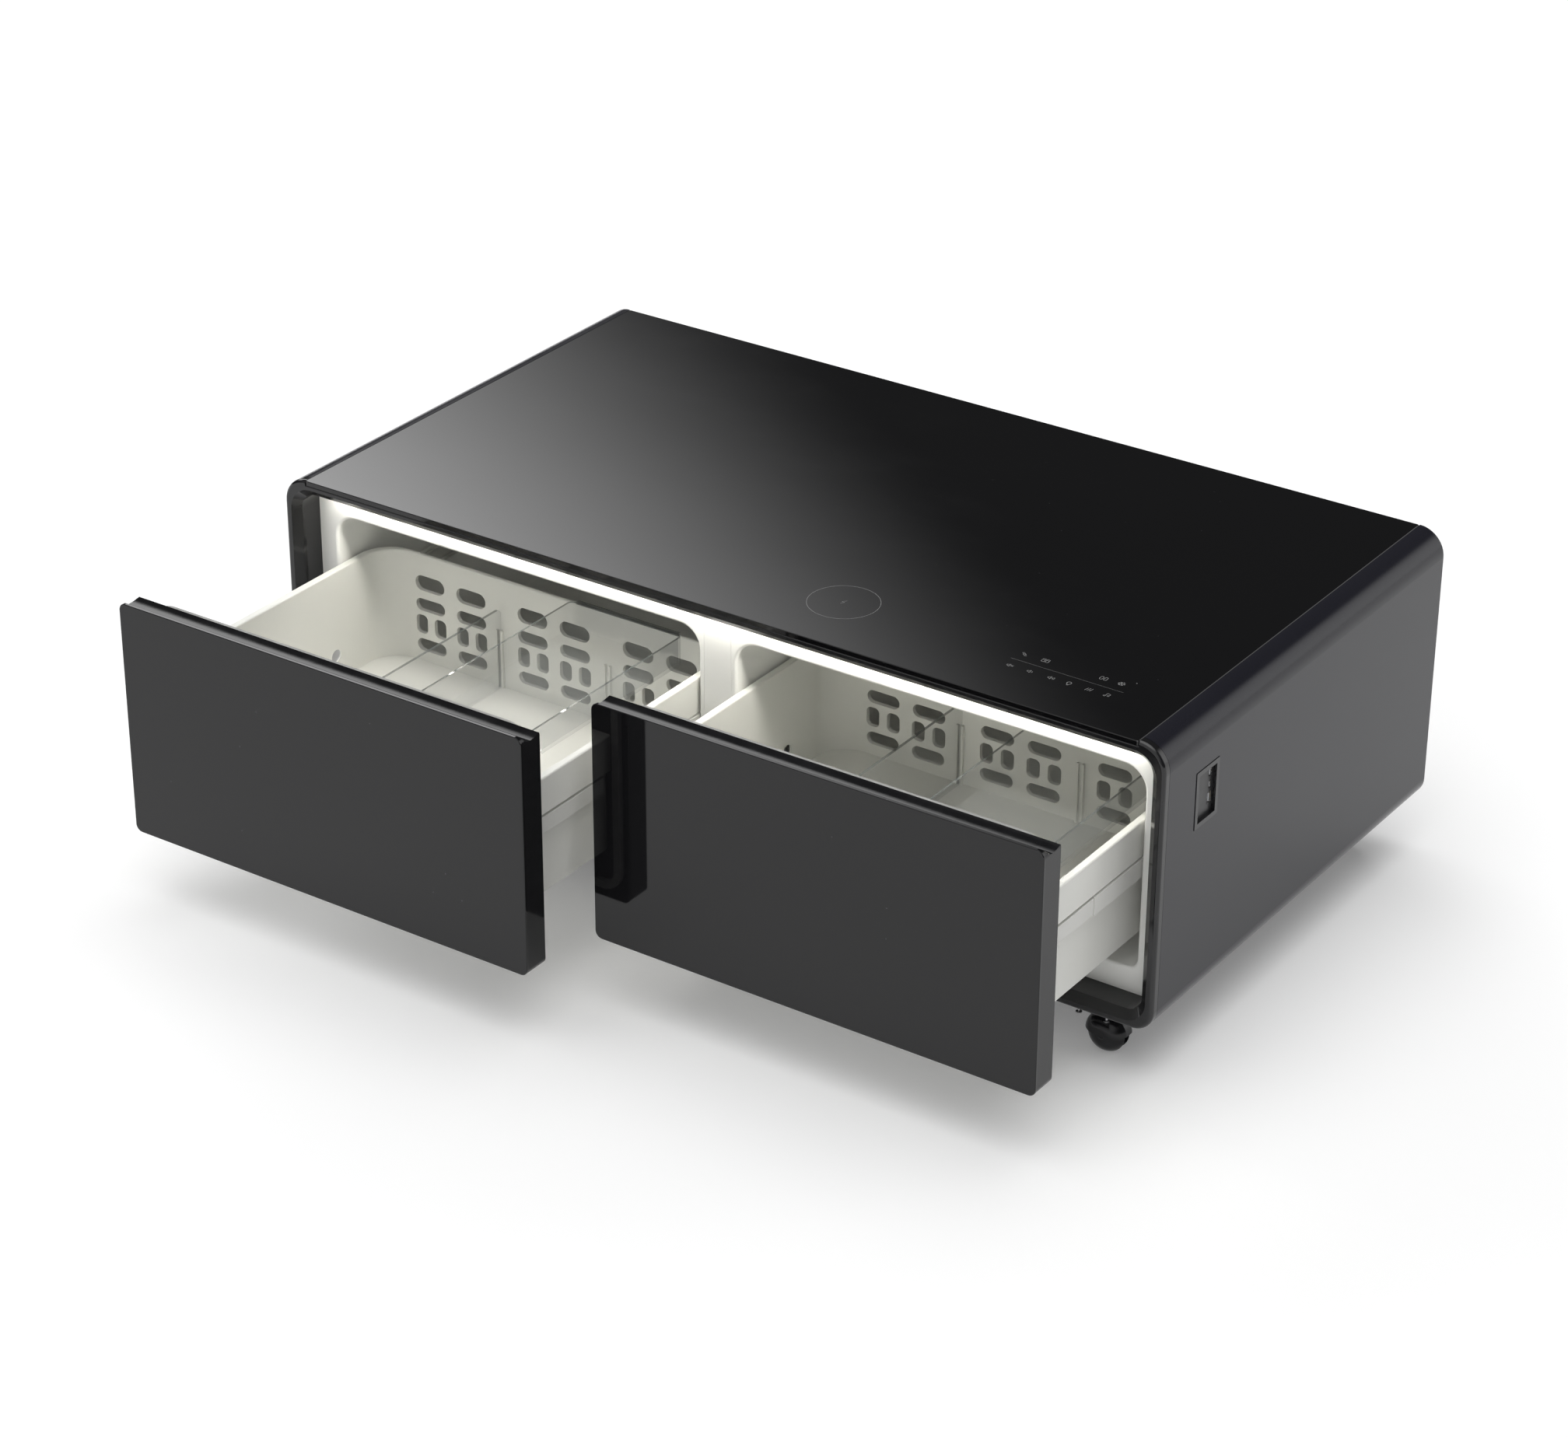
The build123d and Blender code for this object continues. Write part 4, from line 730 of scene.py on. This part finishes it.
class TABLE_OT_marks(bpy.types.Operator):
    """Print the charging ring and the touch symbols on the glass top"""

    bl_idname = "coffee_table.marks"
    bl_label = "Printed marks"

    def execute(self, context):
        sizes = context.scene.table_sizes
        self.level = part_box("glass_top")[1][2] / MM + sizes.print_proud / MM
        self.line = sizes.print_line / MM
        self.ring(sizes.ring_radius / MM)
        self.symbols()
        return {"FINISHED"}

    def ring(self, radius):
        """The thin ring over the charging coil, with a small bolt in its middle."""
        form = Form()
        place = at(*RING_CENTRE, self.level)
        form.arc((0, 0), radius, 0, 360, self.line, place, 128)
        form.path([(1.5, 5), (-2.5, -0.5), (1.8, 0.3), (-1.5, -5)], self.line, place)
        form.finished("charging_ring", print_white("ring_print", 0.24), "cabinet", flat=True)

    def symbols(self):
        """Two rows of touch symbols and the line between them."""
        form = Form()
        line = self.line
        divider = Form()
        divider.stroke(*SYMBOL_LINE, line * 0.8, at(0, 0, self.level))
        divider.finished("symbol_divider", print_white("divider_print", 0.16), "cabinet", flat=True)
        rows = (
            (self.corner_mark, 395, FAR_ROW), (self.box_pair, 424, FAR_ROW), (self.round_pair, 503, FAR_ROW),
            (self.snowflake, 527, FAR_ROW), (self.dot, 541, FAR_ROW + 11), (self.speaker_mark, 396, NEAR_ROW),
            (self.one_wave, 424, NEAR_ROW), (self.two_waves, 452, NEAR_ROW), (self.lamp, 476, NEAR_ROW),
            (self.slants, 503, NEAR_ROW), (self.note, 528, NEAR_ROW),
        )
        for draw, x, y in rows:
            draw(form, line, at(x, y, self.level))
        form.finished("touch_symbols", print_white("symbol_print", 0.36), "cabinet", flat=True)

    def corner_mark(self, form, line, place):
        form.path([(-3.5, 1.5), (-3.5, 3.5), (-1.5, 3.5)], line, place)
        form.path([(3.5, -1.5), (3.5, -3.5), (1.5, -3.5)], line, place)
        form.arc((0, 0), 1.6, 0, 360, line, place)

    def box_pair(self, form, line, place):
        for x in (-4.6, 0.8):
            form.path([(x, -3.6), (x + 3.8, -3.6), (x + 3.8, 3.6), (x, 3.6)], line, place, closed=True)
            form.stroke((x + 1.0, 1.6), (x + 2.8, 1.6), line, place)

    def round_pair(self, form, line, place):
        for x in (-2.8, 2.8):
            form.arc((x, 1.8), 1.9, 0, 180, line, place, 12)
            form.arc((x, -1.8), 1.9, 180, 180, line, place, 12)
            form.path([(x - 1.9, 1.8), (x - 1.9, -1.8)], line, place)
            form.path([(x + 1.9, 1.8), (x + 1.9, -1.8)], line, place)

    def snowflake(self, form, line, place):
        for step in range(6):
            turned = place @ Matrix.Rotation(radians(60 * step), 4, "Z")
            form.stroke((0, 0), (4.4, 0), line, turned)
            form.path([(4.0, 1.2), (2.7, 0), (4.0, -1.2)], line, turned)

    def dot(self, form, line, place):
        form.stroke((0, 0), (0, 0.001), 1.3, place)

    def horn(self, form, line, place):
        outline = [(-4.2, -1.3), (-2.6, -1.3), (-0.4, -3.2), (-0.4, 3.2), (-2.6, 1.3), (-4.2, 1.3)]
        form.path(outline, line, place, closed=True)

    def speaker_mark(self, form, line, place):
        self.horn(form, line, place)
        form.stroke((1.2, -1.4), (4.0, 1.4), line, place)
        form.stroke((1.2, 1.4), (4.0, -1.4), line, place)

    def one_wave(self, form, line, place):
        self.horn(form, line, place)
        form.arc((0, 0), 2.2, -42, 84, line, place, 10)

    def two_waves(self, form, line, place):
        self.one_wave(form, line, place)
        form.arc((0, 0), 4.2, -42, 84, line, place, 12)

    def lamp(self, form, line, place):
        form.arc((0, 0.9), 2.8, -50, 280, line, place, 20)
        form.path([(-1.5, -1.6), (-1.5, -3.4), (1.5, -3.4), (1.5, -1.6)], line, place)
        form.stroke((-0.9, -4.4), (0.9, -4.4), line, place)

    def slants(self, form, line, place):
        for x in (-3.0, 0.0, 3.0):
            form.stroke((x - 0.9, -3.4), (x + 0.9, 3.4), line, place)

    def note(self, form, line, place):
        form.path([(-1.9, -2.4), (-1.9, 3.8), (2.6, 3.0), (2.6, -1.4)], line, place)
        for x, y in ((-3.0, -2.6), (1.5, -1.6)):
            form.arc((x, y), 1.1, 0, 360, line, place, 14)


class TABLE_OT_ports(bpy.types.Operator):
    """Fit the metal shells and the contact tongues into the socket's three ports"""

    bl_idname = "coffee_table.ports"
    bl_label = "Socket fittings"

    def execute(self, context):
        shell = plain_metal("port_shell", (0.62, 0.62, 0.63), 0.26, worn=0.05)
        tongue = moulded_white("port_tongue", (0.42, 0.43, 0.44), 0.35)
        contact = plain_metal("port_contact", (0.80, 0.62, 0.28), 0.25, worn=0.05)
        middle_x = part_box("port_block")[1][0] / MM - PORT_DEPTH / 2
        shells, tongues, contacts = Form(), Form(), Form()
        for level, wide, high, corner in PORTS:
            middle = at(middle_x, PORT_LINE, level)
            self.shell(shells, middle, wide, high, corner)
            thick = wide * 0.26
            tongues.block((PORT_DEPTH - 0.8, thick, high - 3.4), middle, 0.25, 2)
            for step in (-1.5, -0.5, 0.5, 1.5):
                spot = at(middle_x + 0.1, PORT_LINE + thick / 2, level + step * (high - 5.0) / 4)
                contacts.block((PORT_DEPTH - 1.4, 0.16, (high - 5.0) / 7), spot)
        shells.finished("port_shells", shell, "cabinet")
        tongues.finished("port_tongues", tongue, "cabinet")
        contacts.finished("port_contacts", contact, "cabinet")
        return {"FINISHED"}

    def shell(self, form, middle, wide, high, corner):
        """A thin metal sleeve that lines one port."""
        made = bmesh.ops.create_cube(form.bm, size=1.0)
        bmesh.ops.scale(form.bm, vec=(PORT_DEPTH - 0.3, wide - 0.15, high - 0.15), verts=made["verts"])
        along = {
            edge for vert in made["verts"] for edge in vert.link_edges
            if abs((edge.verts[0].co - edge.verts[1].co).normalized().x) > 0.9
        }
        bmesh.ops.bevel(
            form.bm, geom=list(along), offset=corner, offset_type="OFFSET", segments=5, profile=0.5,
            affect="EDGES", clamp_overlap=True, material=-1,
        )
        fresh = set(form.fresh())
        sleeve = [face for face in form.bm.faces if set(face.verts) <= fresh]
        for face in sleeve:
            face.normal_update()
        mouth = [face for face in sleeve if face.normal.x > 0.9]
        bmesh.ops.inset_region(form.bm, faces=mouth, thickness=0.35, use_even_offset=True)
        sunk = list({vert for face in mouth for vert in face.verts})
        bmesh.ops.translate(form.bm, vec=(-(PORT_DEPTH - 0.9), 0, 0), verts=sunk)
        form.settle(middle)


class TABLE_OT_screws(bpy.types.Operator):
    """Make the cross-head screws of the back panel and the castors"""

    bl_idname = "coffee_table.screws"
    bl_label = "Screws"

    def execute(self, context):
        form = Form()
        panel_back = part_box("back_panel")[1][1] / MM
        places = [
            at(side * SIDE_SCREW_X, panel_back, level, "back")
            for side in SIDES.values()
            for level in SIDE_SCREW_LEVELS
        ]
        for x in FOOT_SCREW_XS:
            places += [at(side * x, panel_back, FOOT_SCREW_LEVEL, "back") for side in SIDES.values()]
        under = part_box("front_left_castor_plate")[0][2] / MM
        steps = (-CASTOR_SCREW_STEP, CASTOR_SCREW_STEP)
        for y in CASTOR_YS:
            for x in CASTOR_XS:
                places += [at(x + dx, y + dy, under, "down") for dx in steps for dy in steps]
        for count, place in enumerate(places):
            self.screw(form, place @ Matrix.Rotation(radians(37 * count % 90), 4, "Z"))
        zinc = plain_metal("screw_zinc", (0.42, 0.42, 0.43), 0.28)
        form.finished("cross_head_screws", zinc, "cabinet", ("screws",))
        return {"FINISHED"}

    def screw(self, form, place):
        """A pan head with a sunk cross on a short shank."""
        bm = form.bm
        verts = [bm.verts.new((radius, 0, height)) for radius, height in SCREW_PROFILE]
        edges = [bm.edges.new(pair) for pair in zip(verts, verts[1:])]
        bmesh.ops.spin(bm, geom=verts + edges, cent=(0, 0, 0), axis=(0, 0, 1), angle=2 * pi, steps=16, use_merge=True)
        bmesh.ops.remove_doubles(bm, verts=form.fresh(), dist=0.0005)
        fresh = set(form.fresh())
        bmesh.ops.rotate(bm, verts=list(fresh), cent=(0, 0, 0), matrix=Matrix.Rotation(radians(11.25), 3, "Z"))
        cross = []
        for face in bm.faces:
            if not set(face.verts) <= fresh:
                continue
            middle = face.calc_center_median()
            if middle.z > 1.9 and (middle.to_2d().length < 0.45 or min(abs(middle.x), abs(middle.y)) < 0.05):
                cross.append(face)
        sunk = bmesh.ops.extrude_face_region(bm, geom=cross)
        bmesh.ops.delete(bm, geom=cross, context="FACES_ONLY")
        bmesh.ops.translate(
            bm, vec=(0, 0, -1.2), verts=[item for item in sunk["geom"] if isinstance(item, bmesh.types.BMVert)]
        )
        form.settle(place)


class TABLE_OT_speakers(bpy.types.Operator):
    """Set a surround and a dust cap on both speakers behind the grilles"""

    bl_idname = "coffee_table.speakers"
    bl_label = "Speaker cones"

    def execute(self, context):
        cones = Form()
        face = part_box("speakers")[1][1] / MM
        x, level = SPEAKER
        for side in SIDES.values():
            cones.lathe(CONE_PROFILE, 48, at(side * x, face, level, "back"))
        cones.finished("speaker_cones", soft_rubber("cone_black", (0.012, 0.012, 0.013)), "cabinet")
        return {"FINISHED"}


class TABLE_OT_works(bpy.types.Operator):
    """Add the compressor's seam and cover, the fan guard, the inlet's pins and the control board's parts"""

    bl_idname = "coffee_table.works"
    bl_label = "Works"

    def execute(self, context):
        self.compressor()
        self.guard()
        self.inlet()
        self.board()
        return {"FINISHED"}

    def compressor(self):
        """The welded seam and the cover over the terminals."""
        form = Form()
        x, y = COMPRESSOR
        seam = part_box("compressor")[1][2] / MM - 48
        profile = ((-0.5, -1.6), (1.6, -1.6), (2.0, 0), (1.6, 1.6), (-0.5, 1.6))
        form.lathe([(COMPRESSOR_RADIUS + out, height) for out, height in profile], 64, at(x, y, seam))
        form.block((26, 12, 40), at(x, y + COMPRESSOR_RADIUS + 2.5, seam - 34), 2.5, 3)
        form.finished("compressor_fittings", powder_coat("cover_black", (0.02, 0.02, 0.021), 0.5), "cabinet")

    def guard(self):
        """Wire rings and spokes over the back of the condenser fan."""
        form = Form()
        middle_x, middle_z = FAN
        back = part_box("fan_frame")[1][1] / MM + 1.4
        for radius in (62, 50, 38, 26, 14):
            bmesh.ops.create_circle(form.bm, cap_ends=False, segments=10, radius=1.0)
            bmesh.ops.rotate(form.bm, verts=form.fresh(), cent=(0, 0, 0), matrix=Matrix.Rotation(pi / 2, 3, "X"))
            bmesh.ops.translate(form.bm, vec=(radius, 0, 0), verts=form.fresh())
            ring = form.fresh()
            edges = list({edge for vert in ring for edge in vert.link_edges})
            bmesh.ops.spin(
                form.bm, geom=ring + edges, cent=(0, 0, 0), axis=(0, 0, 1), angle=2 * pi, steps=48, use_merge=True
            )
            form.settle(at(middle_x, back, middle_z, "back"))
        for angle in (45, 135, 225, 315):
            x, z = cos(radians(angle)), sin(radians(angle))
            inner, outer = ((middle_x + reach * x, back - 1.2, middle_z + reach * z) for reach in (13, 72))
            form.rod(inner, outer, 1.1)
        form.finished("fan_guard", plain_metal("guard_wire", (0.30, 0.30, 0.31), 0.34), "cabinet")

    def inlet(self):
        """Three flat pins that stand in the power inlet's mouth."""
        form = Form()
        middle_x, middle_z = INLET
        for x, z in INLET_PINS:
            form.block((2.2, 12.0, 4.2), at(middle_x + x, 339.1, middle_z + z), 0.5, 2)
        form.finished("inlet_pins", plain_metal("pin_nickel", (0.66, 0.65, 0.60), 0.22, worn=0.05), "cabinet")

    def board(self):
        """Dark chips and pale solder points on the control board's face."""
        low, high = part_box("control_board")
        face = high[1] / MM
        chips, points = Form(), Form()
        centre_x, centre_z = (low[0] + high[0]) / 2 / MM, (low[2] + high[2]) / 2 / MM
        for x, z, wide, tall in ((-28, 14, 12, 12), (4, 18, 8, 14), (30, -12, 16, 7)):
            chips.block((wide, 1.8, tall), at(centre_x + x, face + 0.9, centre_z + z), 0.3, 2)
        for step in range(9):
            place = at(centre_x - 36 + 9 * step, face, centre_z - 24, "back")
            points.lathe(SOLDER_PROFILE, 10, place)
        chips.finished("board_chips", gloss_plastic("chip_black", (0.012, 0.012, 0.012), 0.4), "cabinet")
        points.finished("board_solder", plain_metal("solder", (0.7, 0.7, 0.7), 0.3), "cabinet")


class TABLE_OT_castors(bpy.types.Operator):
    """Cap the axle ends of the castor wheels"""

    bl_idname = "coffee_table.castors"
    bl_label = "Castor caps"

    def execute(self, context):
        cap = gloss_plastic("axle_cap", (0.016, 0.016, 0.017), 0.3)
        for name in CASTORS:
            low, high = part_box(f"{name}_castor_wheels")
            form = Form()
            x, z = (low[0] + high[0]) / 2 / MM, (low[2] + high[2]) / 2 / MM
            for y, face in ((high[1] / MM, "back"), (low[1] / MM, "front")):
                form.lathe(CAP_PROFILE, 32, at(x, y, z, face))
            form.finished(f"{name}_axle_caps", cap, f"{name}_wheels")
        return {"FINISHED"}


class TABLE_PT_panel(bpy.types.Panel):
    """Sizes, colours and steps of the coffee table"""

    bl_label = "Coffee table"
    bl_idname = "TABLE_PT_panel"
    bl_space_type = "VIEW_3D"
    bl_region_type = "UI"
    bl_category = "Coffee table"

    def draw(self, context):
        scene = context.scene
        for group in (scene.table_colours, scene.table_sizes, scene.table_studio):
            column = self.layout.column(align=True)
            for name in group.bl_rna.properties.keys():
                if name not in ("name", "rna_type"):
                    column.prop(group, name)
        for operator in OPERATORS:
            self.layout.operator(operator.bl_idname)


OPERATORS = (
    TABLE_OT_stage, TABLE_OT_finishes, TABLE_OT_marks, TABLE_OT_ports, TABLE_OT_screws, TABLE_OT_speakers,
    TABLE_OT_works, TABLE_OT_castors,
)
CLASSES = (TableColours, TableSizes, TableStudio, *OPERATORS, TABLE_PT_panel)


def register():
    for item in CLASSES:
        bpy.utils.register_class(item)
    bpy.types.Scene.table_colours = PointerProperty(type=TableColours)
    bpy.types.Scene.table_sizes = PointerProperty(type=TableSizes)
    bpy.types.Scene.table_studio = PointerProperty(type=TableStudio)


def unregister():
    del bpy.types.Scene.table_colours
    del bpy.types.Scene.table_sizes
    del bpy.types.Scene.table_studio
    for item in reversed(CLASSES):
        bpy.utils.unregister_class(item)


def main():
    """Dress the table."""
    register()
    bpy.ops.coffee_table.stage()
    bpy.ops.coffee_table.finishes()
    bpy.ops.coffee_table.marks()
    bpy.ops.coffee_table.ports()
    bpy.ops.coffee_table.screws()
    bpy.ops.coffee_table.speakers()
    bpy.ops.coffee_table.works()
    bpy.ops.coffee_table.castors()


if __name__ == "__main__":
    main()
